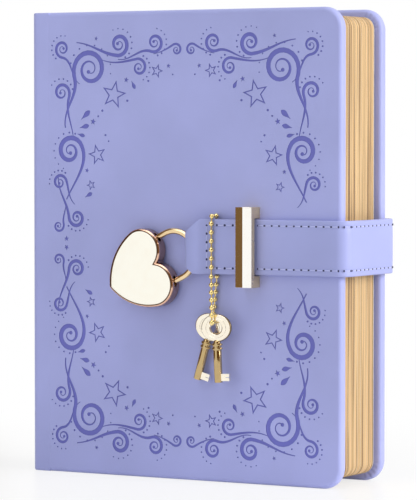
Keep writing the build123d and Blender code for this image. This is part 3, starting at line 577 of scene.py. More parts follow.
rim = open_outline(cover_low.x, cover_high.x, tail, head, corner_radius, edge_radius + rim_width,
                   corner_steps)
flat_points = [Vector(p) for p in rim]
flat_faces = [list(range(len(rim)))]
for shape in border:
    flat_faces.append(list(range(len(flat_points), len(flat_points) + len(shape))))
    flat_points += [Vector(p) for p in shape]
cut_points, _, cut_faces, _, _, sources = delaunay_2d_cdt(flat_points, [], flat_faces, 1, 1e-8)

points, faces, _ = cover_rings(cover_low.x, cover_high.x, cover_low.y, 1.0)
marks = [0] * len(faces)
first = len(points)
sunk = first + len(cut_points)
press_depth = 0.24 * MM
points += [(p.x, cover_low.y, p.y) for p in cut_points]
points += [(p.x, cover_low.y + press_depth, p.y) for p in cut_points]
pressed_edges = set()
for face, source in zip(cut_faces, sources):
    pressed = any(s > 0 for s in source)
    faces.append(tuple((sunk if pressed else first) + i for i in face))
    marks.append(1 if pressed else 0)
    if pressed:
        pressed_edges.update(zip(face, face[1:] + face[:1]))
for a, b in sorted(pressed_edges):
    if (b, a) not in pressed_edges:
        faces.append((first + a, first + b, sunk + b, sunk + a))
        marks.append(1)
front_skin = mesh_piece("front_cover_skin", points, faces, [cover_leather, pressed_leather], marks)
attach(front_skin, "front_cover")
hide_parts("front_cover_leather")

back_low, back_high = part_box("back_cover_leather")
points, faces, count = cover_rings(back_low.x, back_high.x, back_high.y, -1.0)
faces.append(tuple(range(count)))
back_skin = mesh_piece("back_cover_skin", points, faces, [cover_leather])
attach(back_skin, "book")
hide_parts("back_cover_leather")

# The spine and the front joint: one width of leathercloth that runs from the front cover
# round the back of the block to the back cover, turned over at head and tail.


def tube_faces(count, rings, first=0, closed=False):
    """Faces between closed rings of points that follow each other, and back to the first ring if closed."""
    faces = []
    for r in range(rings if closed else rings - 1):
        a = first + r * count
        b = first + (r + 1) % rings * count
        for i in range(count):
            k = (i + 1) % count
            faces.append((a + i, a + k, b + k, b + i))
    return faces


def ribbon(name, path, section, materials):
    """A strip swept along a plan path; path holds places and outward directions, section holds (out, z)."""
    points = []
    for place, out in path:
        points += [(place.x + out.x * n, place.y + out.y * n, z) for n, z in section]
    size = len(section)
    faces = tube_faces(size, len(path))
    faces.append(tuple(range(size)))
    faces.append(tuple(range((len(path) - 1) * size, len(path) * size)))
    return mesh_piece(name, points, faces, materials, sharp=40.0)


def straight(start, end, out, steps):
    """Even stops along a straight run."""
    return [(Vector(start).lerp(Vector(end), i / steps), Vector(out)) for i in range(steps + 1)]


def bend(centre, radius, turn_start, turn_end, steps):
    """Even stops round an arc, facing away from its centre."""
    stops = []
    for i in range(steps + 1):
        a = math.radians(turn_start + (turn_end - turn_start) * i / steps)
        out = Vector((math.cos(a), math.sin(a)))
        stops.append((Vector(centre) + out * radius, out))
    return stops


spine_low, spine_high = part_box("spine_leather")
joint_low, joint_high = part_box("front_joint_leather")
spine_bend = 2.6 * MM
inner_bend = spine_bend - skin_thickness
front_inner = spine_low.y + skin_thickness
back_inner = spine_high.y - skin_thickness
spine_inner = spine_low.x + skin_thickness
curve_x = spine_low.x + spine_bend
curve_front = spine_low.y + spine_bend
curve_back = spine_high.y - spine_bend
spine_path = straight((joint_low.x, front_inner), (curve_x, front_inner), (0.0, -1.0), 2)[:-1]
spine_path += bend((curve_x, curve_front), inner_bend, 270.0, 180.0, 8)
spine_path += straight((spine_inner, curve_front), (spine_inner, curve_back), (-1.0, 0.0), 8)[1:-1]
spine_path += bend((curve_x, curve_back), inner_bend, 180.0, 90.0, 8)
spine_path += straight((curve_x, back_inner), (spine_high.x, back_inner), (0.0, 1.0), 4)[1:]
fold_back = 9.0 * MM
fold_inside = -0.55 * MM
round_over = 0.6 * MM
round_steps = 7
cut_slope = 0.4 * MM


def turned_over(low, high):
    """Section of a skin folded over at both ends."""
    middle = (skin_thickness + fold_inside) / 2.0
    reach = (skin_thickness - fold_inside) / 2.0
    half = [(skin_thickness, low + round_over)]
    for i in range(1, round_steps):
        a = math.pi * i / round_steps
        half.append((middle + reach * math.cos(a), low + round_over * (1.0 - math.sin(a))))
    half += [(fold_inside, low + round_over), (fold_inside, low + fold_back)]
    half.append((0.0, low + fold_back + cut_slope))
    other = [(n, low + high - z) for n, z in half]
    return half + other[::-1]


spine_skin = ribbon("spine_skin", spine_path, turned_over(tail, head), [cover_leather])
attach(spine_skin, "book")
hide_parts("spine_leather")

joint_path = straight((joint_low.x, front_inner), (joint_high.x, front_inner), (0.0, -1.0), 14)
joint_skin = ribbon("front_joint_skin", joint_path, turned_over(tail, head), [cover_leather])
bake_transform(joint_skin)
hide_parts("front_joint_leather")

# The boards and the spine card: unbleached grey board that stiffens the case, hidden
# under skin and endpaper.
fibre, start, end, place = node_group(
    "board_fibre", {"Colour": (0.3, 0.29, 0.27, 1.0), "Fibre Size": 700.0})
flecks = noise_node(place, start["Fibre Size"], 6.0)
feed(clouded(start["Colour"], flecks, 0.9, 1.05), end["Colour"])
feed(map_range(flecks, whole, (0.75, 0.95)), end["Roughness"])
feed(flecks, end["Height"])


def paper(name, colour, fibre_size, relief):
    """Paper or board of one colour with its fibre."""
    return surfaced(name, fibre, {"Colour": colour, "Fibre Size": fibre_size}, relief, 0.05 * MM,
                    {"Specular IOR Level": 0.25})


def finish_node(node, material):
    """Gives a CAD piece its finish."""
    for slot in frame["nodes"][node].material_slots:
        slot.material = material


grey_board = paper("grey_board", (0.27, 0.26, 0.24, 1.0), 700.0, 0.5)
for node in ("front_board", "back_board", "spine_card"):
    finish_node(node, grey_board)

# The endpapers: cream paper pasted over the turn-ins inside both covers, and the free
# half of it at the back.
endpaper = paper("cream_endpaper", (0.80, 0.75, 0.64, 1.0), 1500.0, 0.15)
for node in ("front_pastedown", "back_pastedown", "back_flyleaf"):
    finish_node(node, endpaper)

# The page block: ten sewn sections of cream leaves, their corners rounded and all three
# edges gilded, so that single leaves show as fine brown lines.
streaks, start, end, place = node_group(
    "leaf_streaks", {"Gilt": (0.80, 0.575, 0.31, 1.0), "Line": (0.24, 0.13, 0.06, 1.0)},
    surface_outputs + ("Metallic",))


def stretched_noise(vector, stretch, detail):
    """Noise drawn out into streaks, at a scale of its own along each axis."""
    mapping = vector.id_data.nodes.new("ShaderNodeMapping")
    feed(stretch, mapping.inputs["Scale"])
    feed(vector, mapping.inputs["Vector"])
    return noise_node(mapping.outputs["Vector"], 1.0, detail)


fine = stretched_noise(place, (14.0, 2600.0, 14.0), 4.0)
broad = stretched_noise(place, (9.0, 520.0, 9.0), 3.0)
split = stretched_noise(place, (5.0, 900.0, 5.0), 2.0)
mingled = math_node("MULTIPLY", fine, broad)
leaf_lines = map_range(mingled, (0.14, 0.25), (0.85, 0.0))
gaps = map_range(split, (0.57, 0.65), (0.0, 0.9))
dark = math_node("MAXIMUM", leaf_lines, gaps)
feed(mix_colours(dark, start["Gilt"], start["Line"]), end["Colour"])
feed(map_range(broad, whole, (0.34, 0.55)), end["Roughness"])
feed(map_range(leaf_lines, whole, (0.22, 0.1)), end["Metallic"])
feed(fine, end["Height"])
gilt = surfaced("gilt_page_edge", streaks, {}, 0.35, 0.06 * MM, {})
page_paper = paper("cream_page", (0.84, 0.80, 0.70, 1.0), 1800.0, 0.12)

leaves_in_section = 14
page_corner = 5.0 * MM
page_corner_steps = 8
leaf_gap_depth = 0.16 * MM
leaf_unevenness = 0.12
leaf_profile = ((0.0, 0.0), (0.0, 0.74), (leaf_gap_depth, 0.8), (leaf_gap_depth, 0.94))
uneven = random.Random(7)
for number in range(1, 11):
    node = f"page_section_{number:02d}"
    low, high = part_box(node)
    pitch = (high.y - low.y) / leaves_in_section
    points = []
    rings = 0
    for leaf_number in range(leaves_in_section):
        y = low.y + leaf_number * pitch
        inset = uneven.uniform(0.0, leaf_unevenness) * MM
        for depth, share in leaf_profile:
            outline = open_outline(low.x, high.x, low.z, high.z, page_corner, inset + depth,
                                   page_corner_steps)
            points += [(x, y + share * pitch, z) for x, z in outline]
            rings += 1
    count = len(points) // rings
    points += [(x, high.y, z) for x, _, z in points[-count:]]
    rings += 1
    faces = ring_faces(count, rings)
    marks = [0] * len(faces)
    faces.append(tuple(range(count)))
    faces.append(tuple(range((rings - 1) * count, rings * count)))
    spine_side = [r * count for r in range(rings)]
    head_side = [r * count + count - 1 for r in range(rings)]
    faces.append(tuple(spine_side + head_side[::-1]))
    marks += [1, 1, 1]
    section = mesh_piece(f"gilt_section_{number:02d}", points, faces, [gilt, page_paper], marks)
    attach(section, "book")
    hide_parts(node)

# The free leaves: the flyleaf and the first two leaves, each glued along the spine and
# turning on its own.
glue_inset = 0.4 * MM
leaf_bend = 4.0 * MM
bend_stops = 12
flat_stops = 8


def loose_leaf(name, node, materials):
    """One flat leaf, finely divided beside the spine and rounded at its fore-edge corners."""
    low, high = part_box(node)
    block_low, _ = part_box("page_section_01")
    bend_start = low.x - leaf_bend
    bend_end = low.x + leaf_bend
    rounded = high.x - page_corner
    stops = [block_low.x + glue_inset, bend_start]
    stops += [bend_start + 2.0 * leaf_bend * i / bend_stops for i in range(1, bend_stops + 1)]
    stops += [bend_end + (rounded - low.x - leaf_bend) * i / flat_stops for i in range(1, flat_stops + 1)]
    stops += [rounded + page_corner * math.sin(a) for a in quarter_turn(page_corner_steps)[1:]]
    points = []
    for x in stops:
        past = max(x - rounded, 0.0)
        cut = page_corner - math.sqrt(max(page_corner ** 2 - past ** 2, 0.0))
        bottom = low.z + cut
        top = high.z - cut
        points += [(x, low.y, bottom), (x, low.y, top), (x, high.y, top), (x, high.y, bottom)]
    faces = [(0, 1, 2, 3)]
    marks = [0]
    for i in range(len(stops) - 1):
        a = 4 * i
        for j in range(4):
            k = (j + 1) % 4
            faces.append((a + j, a + 4 + j, a + 4 + k, a + k))
            marks.append(0 if j in (1, 3) else 1)
    end_stop = 4 * (len(stops) - 1)
    faces.append((end_stop, end_stop + 3, end_stop + 2, end_stop + 1))
    marks.append(0)
    leaf_piece = mesh_piece(name, points, faces, materials, marks, sharp=35.0)
    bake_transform(leaf_piece)
    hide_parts(node)
    return leaf_piece


loose_leaf("flyleaf_sheet", "front_flyleaf", [gilt, endpaper])
loose_leaf("first_leaf_sheet", "first_leaf", [gilt, page_paper])
loose_leaf("second_leaf_sheet", "second_leaf", [gilt, page_paper])

# The mull and the two end bands: open cloth glued to the back of the block, and striped
# woven bands that close the block at head and tail.
weave, start, end, place = node_group(
    "woven_stripe",
    {"Ground": (0.74, 0.70, 0.62, 1.0), "Stripe": (0.32, 0.32, 0.6, 1.0), "Stripe Amount": 1.0})
waves = []
for direction, scale in (("Y", 140.0), ("Z", 420.0)):
    wave = weave.nodes.new("ShaderNodeTexWave")
    wave.bands_direction = direction
    feed(scale, wave.inputs["Scale"])
    feed(place, wave.inputs["Vector"])
    waves.append(wave.outputs["Fac"])
stripes, threads = waves
amount = math_node("MULTIPLY", stripes, start["Stripe Amount"])
feed(mix_colours(amount, start["Ground"], start["Stripe"]), end["Colour"])
feed(map_range(threads, whole, (0.7, 0.9)), end["Roughness"])
feed(math_node("ADD", stripes, threads), end["Height"])


def woven(name, ground, stripe, amount):
    """Woven cloth, plain or striped."""
    values = {"Ground": ground, "Stripe": stripe, "Stripe Amount": amount}
    return surfaced(name, weave, values, 0.6, 0.12 * MM, {"Sheen Weight": 0.2})


band_cloth = woven("striped_band", (0.80, 0.77, 0.70, 1.0), (0.30, 0.30, 0.58, 1.0), 1.0)
finish_node("headband", band_cloth)
finish_node("tailband", band_cloth)
finish_node("spine_mull", woven("mull_cloth", (0.74, 0.70, 0.62, 1.0), (0.62, 0.58, 0.5, 1.0), 0.5))

# The strap: leathercloth and a plain lining sewn together along both edges. It is fixed to
# the back cover, goes round the fore-edge and passes under the clasp's bar.
strap_low, strap_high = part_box("strap_front_leather")
anchor_low, anchor_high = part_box("strap_anchor_leather")
strap_thickness = 2.1 * MM
strap_bend = 5.0 * MM
strap_out = strap_high.x
bend_x = strap_out - strap_bend
bend_back = anchor_high.y - strap_bend
bend_front = strap_low.y + strap_bend
inside_bend = strap_bend - strap_thickness
anchor_inner = anchor_high.y - strap_thickness
side_inner = bend_x + inside_bend
front_side_inner = bend_front - inside_bend
stitch_margin = 2.4 * MM
strap_edge = 0.5 * MM
strap_lining = 0.9 * MM
lining_round = 0.15 * MM
seam_half = 0.12 * MM
seam_depth = 0.14 * MM
trough = ((-0.75, 0.0), (-0.35, 0.12), (0.0, 0.16), (0.35, 0.12), (0.75, 0.0))
strap_crown = 0.06 * MM
crown_inset = 3.0 * MM
anchor_corner = 4.0 * MM


def strap_section(low, high):
    """Section of the strap: rounded edges, a seam line between the layers and a trough under each row."""
    t = strap_thickness
    half = [(0.0, low + strap_edge), (lining_round, low + lining_round), (strap_lining - seam_half, low),
            (strap_lining, low + seam_depth), (strap_lining + seam_half, low)]
    for a in quarter_turn(4):
        half.append((t - strap_edge + strap_edge * math.sin(a), low + strap_edge - strap_edge * math.cos(a)))
    row = low + stitch_margin
    for away, sink in trough:
        half.append((t - sink * MM, row + away * MM))
    half.append((t + strap_crown, row + crown_inset))
    other = [(n, low + high - z) for n, z in half]
    return half + other[::-1]


section = strap_section(strap_low.z, strap_high.z)
anchor_path = straight((anchor_low.x, anchor_inner), (bend_x, anchor_inner), (0.0, 1.0), 14)
rear_bend = bend((bend_x, bend_back), inside_bend, 90.0, 0.0, 10)
fore_path = straight((side_inner, bend_back), (side_inner, bend_front), (1.0, 0.0), 12)
front_bend = bend((bend_x, bend_front), inside_bend, 0.0, -90.0, 10)
front_path = straight((bend_x, front_side_inner), (strap_low.x, front_side_inner), (0.0, -1.0), 14)

anchor_strip = ribbon("strap_anchor_strip", anchor_path, section, [strap_leather])
work = opened(anchor_strip.data)
middle = (strap_low.z + strap_high.z) / 2.0
reach = (strap_high.z - strap_low.z) / 2.0
for v in work.verts:
    past = max(anchor_low.x + anchor_corner - v.co.x, 0.0)
    cut = anchor_corner - math.sqrt(max(anchor_corner ** 2 - past ** 2, 0.0))
    v.co.z = middle + (v.co.z - middle) * (reach - cut) / reach
put_back(work, anchor_strip.data)
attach(anchor_strip, "book")
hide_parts("strap_anchor_leather", "strap_anchor_lining")

wrap_strip = ribbon("strap_wrap_strip", rear_bend + fore_path[1:], section, [strap_leather])
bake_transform(wrap_strip)
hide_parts("strap_wrap_leather", "strap_wrap_lining")
front_strip = ribbon("strap_front_strip", front_bend + front_path[1:], section, [strap_leather])
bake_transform(front_strip)
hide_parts("strap_front_leather", "strap_front_lining")

# The strap's end: the leather is folded back on itself and sewn across, which leaves a
# loop for the padlock's shackle. Its corners are cut away.


def worked_copy(name, node, body, material, bevel, segments=2, square_from=math.inf, crease=40.0):
    """A CAD piece with its edges eased, except beyond square_from in x, and its faces smoothed.
    Without a body it is left unattached and is not blended between two bodies."""
    mesh = frame["nodes"][node].data.copy()
    mesh.name = name
    work = opened(mesh)
    bmesh.ops.remove_doubles(work, verts=work.verts, dist=2e-6)
    bmesh.ops.dissolve_limit(work, angle_limit=math.radians(1.0), verts=work.verts, edges=work.edges)
    if bevel > 0.0:
        hard = [e for e in work.edges if len(e.link_faces) == 2 and e.calc_face_angle() > math.radians(35.0)
                and min(v.co.x for v in e.verts) < square_from]
        bmesh.ops.bevel(work, geom=hard, offset=bevel, segments=segments, profile=0.5, affect="EDGES",
                        clamp_overlap=True)
    bmesh.ops.triangulate(work, faces=work.faces)
    put_back(work, mesh)
    if "custom_normal" in mesh.attributes:
        mesh.attributes.remove(mesh.attributes["custom_normal"])
    mesh.materials.clear()
    mesh.materials.append(material)
    piece = smooth_object(name, mesh, crease)
    if body is not None:
        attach(piece, body)
    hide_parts(node)
    return piece


tip_low, tip_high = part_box("strap_tip_leather")
tip_cut = tip_high.x - 0.1 * MM
worked_copy("strap_end_loop", "strap_tip_leather", "front_cover", strap_leather, 0.28 * MM,
            3, tip_cut)
worked_copy("strap_end_lining", "strap_tip_lining", "front_cover", strap_leather, 0.15 * MM,
            2, tip_cut)

# The stitching: lavender thread in a running stitch along both edges. Neighbours share a
# needle hole, shown as a dark disc of painted shade.


def spun(name, colour, roughness):
    """Spun thread of one colour, with its twist."""
    return surfaced(name, fibre, {"Colour": colour, "Fibre Size": 5200.0}, 0.6, 0.05 * MM,
                    {"Roughness": roughness, "Sheen Weight": 0.3})


thread = spun("lavender_thread", (0.48, 0.52, 0.85, 1.0), 0.6)
# The needle holes are not cut: each is a slightly domed dark disc on the face, as painted shade.
painted_hole_shade = spun("painted_hole_shade", (0.02, 0.02, 0.09, 1.0), 0.9)
stitch_pitch = 3.25 * MM
stitch_half = stitch_pitch / 2.0 - 0.25 * MM
thread_radius = 0.24 * MM
thread_sides = 6
thread_rings = 7
stitch_rise = 0.16 * MM
stitch_dip = 0.42 * MM
hole_radius = 0.48 * MM
hole_length = 0.8 * hole_radius
hole_sides = 10
hole_away = 0.22 * MM
hole_lift = 0.03 * MM
hole_bulge = 0.05 * MM


def sewn(name, stitches):
    """Stitches as arched threads; each is a middle, a direction along the row and an outward direction."""
    points = []
    faces = []
    marks = []
    for middle, along, out in stitches:
        across = along.cross(out)
        first = len(points)
        for r in range(thread_rings):
            share = 2.0 * r / (thread_rings - 1) - 1.0
            rise = stitch_rise - stitch_dip * abs(share) ** 3
            centre = middle + along * stitch_half * share + out * rise
            for s in range(thread_sides):
                a = 2.0 * math.pi * s / thread_sides
                points.append(centre + thread_radius * (across * math.cos(a) + out * math.sin(a)))
        faces += tube_faces(thread_sides, thread_rings, first)
        marks += [0] * (len(faces) - len(marks))
        # Dark discs of painted shade stand for the needle holes at both ends of the stitch.
        for sign in (-1.0, 1.0):
            hole = len(points)
            place = middle + along * sign * (stitch_half + hole_away) + out * hole_lift
            points.append(place + out * hole_bulge)
            for s in range(hole_sides):
                a = 2.0 * math.pi * s / hole_sides
                points.append(place + along * hole_length * math.cos(a) + across * hole_radius * math.sin(a))
            faces += [(hole, hole + 1 + s, hole + 1 + (s + 1) % hole_sides) for s in range(hole_sides)]
            marks += [1] * hole_sides
    return mesh_piece(name, points, faces, [thread, painted_hole_shade], marks, sharp=60.0)


stitch_face = strap_thickness - stitch_rise
stitch_heights = (strap_low.z + stitch_margin, strap_high.z - stitch_margin)
cross_stitches = 5


def run_of_stitches(path):
    """Both rows of stitches along a strap path."""
    lengths = [0.0]
    for (a, _), (b, _) in zip(path, path[1:]):
        lengths.append(lengths[-1] + (b - a).length)
    count = max(int(lengths[-1] / stitch_pitch), 1)
    stitches = []
    for i in range(count):
        want = (i + 0.5) * lengths[-1] / count
        k = max(j for j in range(len(lengths) - 1) if lengths[j] <= want)
        share = (want - lengths[k]) / (lengths[k + 1] - lengths[k])
        place = path[k][0].lerp(path[k + 1][0], share)
        out = path[k][1].lerp(path[k + 1][1], share).normalized()
        ahead = (path[k + 1][0] - path[k][0]).normalized()
        for z in stitch_heights:
            stitches.append((Vector((place.x + out.x * stitch_face, place.y + out.y * stitch_face, z)),
                             Vector((ahead.x, ahead.y, 0.0)), Vector((out.x, out.y, 0.0))))
    return stitches


def cross_seam(x, y, out):
    """A row of stitches across the strap."""
    pitch = (strap_high.z - strap_low.z - 2.0 * stitch_margin) / cross_stitches
    rows = []
    for i in range(cross_stitches):
        z = strap_low.z + stitch_margin + (i + 0.5) * pitch
        rows.append((Vector((x, y, z)), Vector((0.0, 0.0, 1.0)), Vector((0.0, out, 0.0))))
    return rows


anchor_rows = run_of_stitches(anchor_path[2:])
anchor_rows += cross_seam(anchor_low.x + stitch_margin, anchor_high.y, 1.0)
anchor_sewing = sewn("strap_anchor_sewing", anchor_rows)
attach(anchor_sewing, "book")
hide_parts("strap_anchor_stitching")
wrap_sewing = sewn("strap_wrap_sewing", run_of_stitches(rear_bend + fore_path[1:]))
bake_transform(wrap_sewing)
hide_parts("strap_wrap_stitching")
front_sewing = sewn("strap_front_sewing", run_of_stitches(front_bend + front_path[1:]))
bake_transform(front_sewing)
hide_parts("strap_front_stitching")

clasp_low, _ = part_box("clasp_staple")
seam_x = tip_low.x + 9.5 * MM
seam_inset = 0.5 * MM
seam_clear = 1.0 * MM
ramp_start = clasp_low.x - 0.4 * MM
ramp_end = ramp_start - 8.0 * MM
flat_y = strap_low.y
lifted_y = flat_y - 2.0 * MM
slope_step = 0.5 * MM
first_stitch = clasp_low.x - 1.6 * MM


def tip_face(x):
    """Depth of the strap end's outer face left of the clasp."""
    share = min(max((ramp_start - x) / (ramp_start - ramp_end), 0.0), 1.0)
    return flat_y + (lifted_y - flat_y) * share


tip_rows = []
x = first_stitch
while x > seam_x + seam_clear:
    fall = (tip_face(x - slope_step) - tip_face(x + slope_step)) / (2.0 * slope_step)
    slope = Vector((-1.0, fall, 0.0)).normalized()
    for z in stitch_heights:
        tip_rows.append((Vector((x, tip_face(x), z)), slope, Vector((-slope.y, slope.x, 0.0))))
    x -= stitch_pitch
tip_rows += cross_seam(seam_x + seam_inset, lifted_y, -1.0)
tip_sewing = sewn("strap_end_sewing", tip_rows)
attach(tip_sewing, "front_cover")
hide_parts("strap_tip_stitching")

# The clasp: a pale gold bar on two feet, its front ground to a low ridge. It is held by two
# steel screws put in from inside the cover.
polish, start, end, place = node_group(
    "polished_plate",
    {"Colour": (0.92, 0.74, 0.44, 1.0), "Tarnish": (0.72, 0.47, 0.27, 1.0), "Dullness": 0.08})
haze = noise_node(place, 240.0, 4.0)
patches = map_range(haze, (0.45, 0.85), (0.0, 0.35))
feed(mix_colours(patches, start["Colour"], start["Tarnish"]), end["Colour"])
dull = math_node("MULTIPLY", haze, 0.07)
feed(math_node("ADD", dull, start["Dullness"]), end["Roughness"])
feed(stretched_noise(place, (9000.0, 9000.0, 500.0), 2.0), end["Height"])


def plated(name, colour, tarnish, dullness):
    """Polished metal with a faint haze and hairlines."""
    values = {"Colour": colour, "Tarnish": tarnish, "Dullness": dullness}
    return surfaced(name, polish, values, 0.05, 0.01 * MM, {"Metallic": 1.0})


clasp_gold = plated("clasp_gold", (0.98, 0.96, 0.91, 1.0), (0.94, 0.88, 0.76, 1.0), 0.06)
# The clasp's sides and feet take a darker, more orange copy of its gold: painted shade.
clasp_painted_shade = plated("clasp_painted_shade", (0.98, 0.80, 0.44, 1.0), (0.84, 0.64, 0.34, 1.0), 0.25)
steel = plated("bright_steel", (0.56, 0.56, 0.55, 1.0), (0.40, 0.39, 0.37, 1.0), 0.25)
front_facing = -0.2
clasp_bar = worked_copy("clasp_bar", "clasp_staple", "front_cover", clasp_gold, 0.22 * MM,
                        crease=15.0)
clasp_bar.data.materials.append(clasp_painted_shade)
# Faces turned away from the front take the painted shade.
for face in clasp_bar.data.polygons:
    if face.normal.y > front_facing:
        face.material_index = 1
finish_node("clasp_screws", steel)
finish_node("clasp_washers", steel)

# The padlock: a drawn heart-shaped shell with a crowned face, closed by a riveted back
# plate. Inside are a cast frame, the key post, and a latch with its folded spring.
lock_gold = plated("lock_gold", (0.98, 0.955, 0.85, 1.0), (0.96, 0.89, 0.75, 1.0), 0.05)
# The face's rounded rim is painted: a rosy band of painted reflection, then a dark line of painted reflection
# where it meets the face.
rim_painted_reflection = plated("rim_painted_reflection", (0.80, 0.52, 0.38, 1.0), (0.66, 0.41, 0.29, 1.0), 0.1)
rim_painted_dark_reflection = plated("rim_painted_dark_reflection", (0.16, 0.095, 0.065, 1.0), (0.11, 0.065, 0.045, 1.0), 0.2)
works_brass = plated("works_brass", (0.68, 0.50, 0.28, 1.0), (0.45, 0.30, 0.16, 1.0), 0.3)
heart_low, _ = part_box("padlock_shell")
lock_tilt = math.radians(25.0)
lock_along = Vector((-math.cos(lock_tilt), 0.0, -math.sin(lock_tilt)))
lock_across = Vector((math.sin(lock_tilt), 0.0, -math.cos(lock_tilt)))
lobe_radius = 8.9
lobe_offset = 7.55
lobe_depth = 12.6
heart_side = 25.5
heart_tip = 32.5
draw_radius = 1.35 * MM
crown_rise = 0.3 * MM
draw_steps = 8
# Rings from the rim's outer edge that carry the painted rosy reflection, and where the painted dark line
# after them ends.
painted_glint_rings = 5
painted_dark_rings = 7
joints = {joint["name"]: joint for joint in frame["joints"]}


def heart_half(count):
    """Half of the heart's outline, in millimetres along and across the lock, from cleft to tip."""
    reach = heart_side - lobe_radius
    span = math.hypot(heart_tip - lobe_depth, lobe_offset)
    along = (reach ** 2 - heart_side ** 2 + span ** 2) / (2.0 * span)
    across = math.sqrt(reach ** 2 - along ** 2)
    unit = ((heart_tip - lobe_depth) / span, -lobe_offset / span)
    side = (lobe_depth + along * unit[0] + across * unit[1],
            lobe_offset + along * unit[1] - across * unit[0])
    join = math.atan2(lobe_offset - side[1], lobe_depth - side[0])
    cleft = math.atan2(-lobe_offset, -math.sqrt(lobe_radius ** 2 - lobe_offset ** 2)) + 2.0 * math.pi
    tip = math.atan2(-side[1], heart_tip - side[0])
    points = []
    for i in range(count):
        a = cleft + (join - cleft) * i / count
        points.append((lobe_depth + lobe_radius * math.cos(a), lobe_offset + lobe_radius * math.sin(a)))
    for i in range(count + 1):
        a = join + (tip - join) * i / count
        points.append((side[0] + heart_side * math.cos(a), side[1] + heart_side * math.sin(a)))
    return points


half_heart = heart_half(36)
heart_ring = half_heart + [(u, -v) for u, v in half_heart[-2:0:-1]]
lock_x = heart_low.x - min(u * lock_along.x + v * lock_across.x for u, v in heart_ring) * MM
lock_z = heart_low.z - min(u * lock_along.z + v * lock_across.z for u, v in heart_ring) * MM


def heart_inset(inset):
    """The heart's outline drawn in, in millimetres."""
    ring = []
    count = len(heart_ring)
    for i, (u, v) in enumerate(heart_ring):
        before = heart_ring[i - 1]
        after = heart_ring[(i + 1) % count]
        first = Vector((u - before[0], v - before[1])).normalized()
        second = Vector((after[0] - u, after[1] - v)).normalized()
        inward = Vector((first.y + second.y, -first.x - second.x)).normalized()
        stretch = min(1.0 / max(inward.dot(Vector((first.y, -first.x))), 0.4), 2.2)
        ring.append((u + inward.x * inset * stretch, v + inward.y * inset * stretch))
    return ring


def lock_point(u, v, depth):
    """A place in the lock, depth behind its front face."""
    flat = Vector((lock_x, 0.0, lock_z)) + MM * (u * lock_along + v * lock_across)
    return flat + Vector((0.0, heart_low.y + depth, 0.0))


points = []
for a in quarter_turn(draw_steps):
    inset = draw_radius * (1.0 - math.cos(a)) / MM
    depth = crown_rise + (draw_radius - crown_rise) * (1.0 - math.sin(a))
    points += [lock_point(u, v, depth) for u, v in heart_inset(inset)]
centre_u = sum(u for u, v in heart_ring) / len(heart_ring)
inner_ring = heart_inset(draw_radius / MM)
for share in (0.97, 0.9, 0.75, 0.5, 0.25):
    depth = crown_rise * share ** 2
    points += [lock_point(centre_u + (u - centre_u) * share, v * share, depth) for u, v in inner_ring]
points.append(lock_point(centre_u, 0.0, 0.0))
count = len(heart_ring)
rings = (len(points) - 1) // count
faces = tube_faces(count, rings)
marks = []
# The outer rings take the painted reflections, the rest the plain plating.
for r in range(rings):
    marks += [1 if r < painted_glint_rings else 2 if r < painted_dark_rings else 0] * count
last = (rings - 1) * count
faces += [(last + i, last + (i + 1) % count, len(points) - 1) for i in range(count)]
heart_face = mesh_piece("heart_face", points, faces, [lock_gold, rim_painted_reflection, rim_painted_dark_reflection], marks, sharp=50.0)
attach(heart_face, "padlock")

# The shell's side wall takes a dark rose copy of the lock's plating: painted shade.
shaded_rose_plating = plated("shaded_rose_plating", (0.46, 0.31, 0.26, 1.0), (0.34, 0.22, 0.18, 1.0), 0.12)
heart_shell = worked_copy("heart_shell", "padlock_shell", "padlock", shaded_rose_plating, 0.0)
work = opened(heart_shell.data)
bmesh.ops.bisect_plane(work, geom=work.verts[:] + work.edges[:] + work.faces[:], clear_outer=True,
                       plane_co=(0.0, heart_low.y + draw_radius, 0.0), plane_no=(0.0, -1.0, 0.0))
put_back(work, heart_shell.data)
heart_shell.data.set_sharp_from_angle(angle=math.radians(40.0))
finish_node("padlock_back", lock_gold)
finish_node("padlock_rivets", lock_gold)
for node in ("padlock_frame", "padlock_key_post", "padlock_latch"):
    finish_node(node, works_brass)
latch_spring = worked_copy("latch_spring_leaves", "padlock_latch_spring", None, steel, 0.04 * MM)
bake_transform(latch_spring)

# The shackle: a bow of bent and polished wire whose legs go into the heart's two lobes. It
# is a little thicker outside the heart than the legs that slide in it.
shackle_gold = plated("shackle_gold", (0.86, 0.66, 0.39, 1.0), (0.76, 0.54, 0.30, 1.0), 0.12)
shackle_bow = worked_copy("shackle_bow", "padlock_shackle", "shackle", shackle_gold, 0.08 * MM)
bow_radius = 9.7 * MM
swell_end = 3.6 * MM
swell_ramp = 1.0 * MM
wire_swell = 0.22
wire_low, wire_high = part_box("padlock_shackle")
bow_middle = Vector((lock_x, (wire_low.y + wire_high.y) / 2.0, lock_z))
work = opened(shackle_bow.data)
for u in (swell_end - swell_ramp, swell_end):
    bmesh.ops.bisect_plane(work, geom=work.verts[:] + work.edges[:] + work.faces[:],
                           plane_co=bow_middle + lock_along * u, plane_no=lock_along)
for vertex in work.verts:
    off = vertex.co - bow_middle
    u = off.dot(lock_along)
    v = off.dot(lock_across)
    if u < 0.0:
        middle = (lock_along * u + lock_across * v).normalized() * bow_radius
    else:
        middle = lock_along * u + lock_across * math.copysign(bow_radius, v)
    vertex.co += (off - middle) * wire_swell * min(max((swell_end - u) / swell_ramp, 0.0), 1.0)
put_back(work, shackle_bow.data)

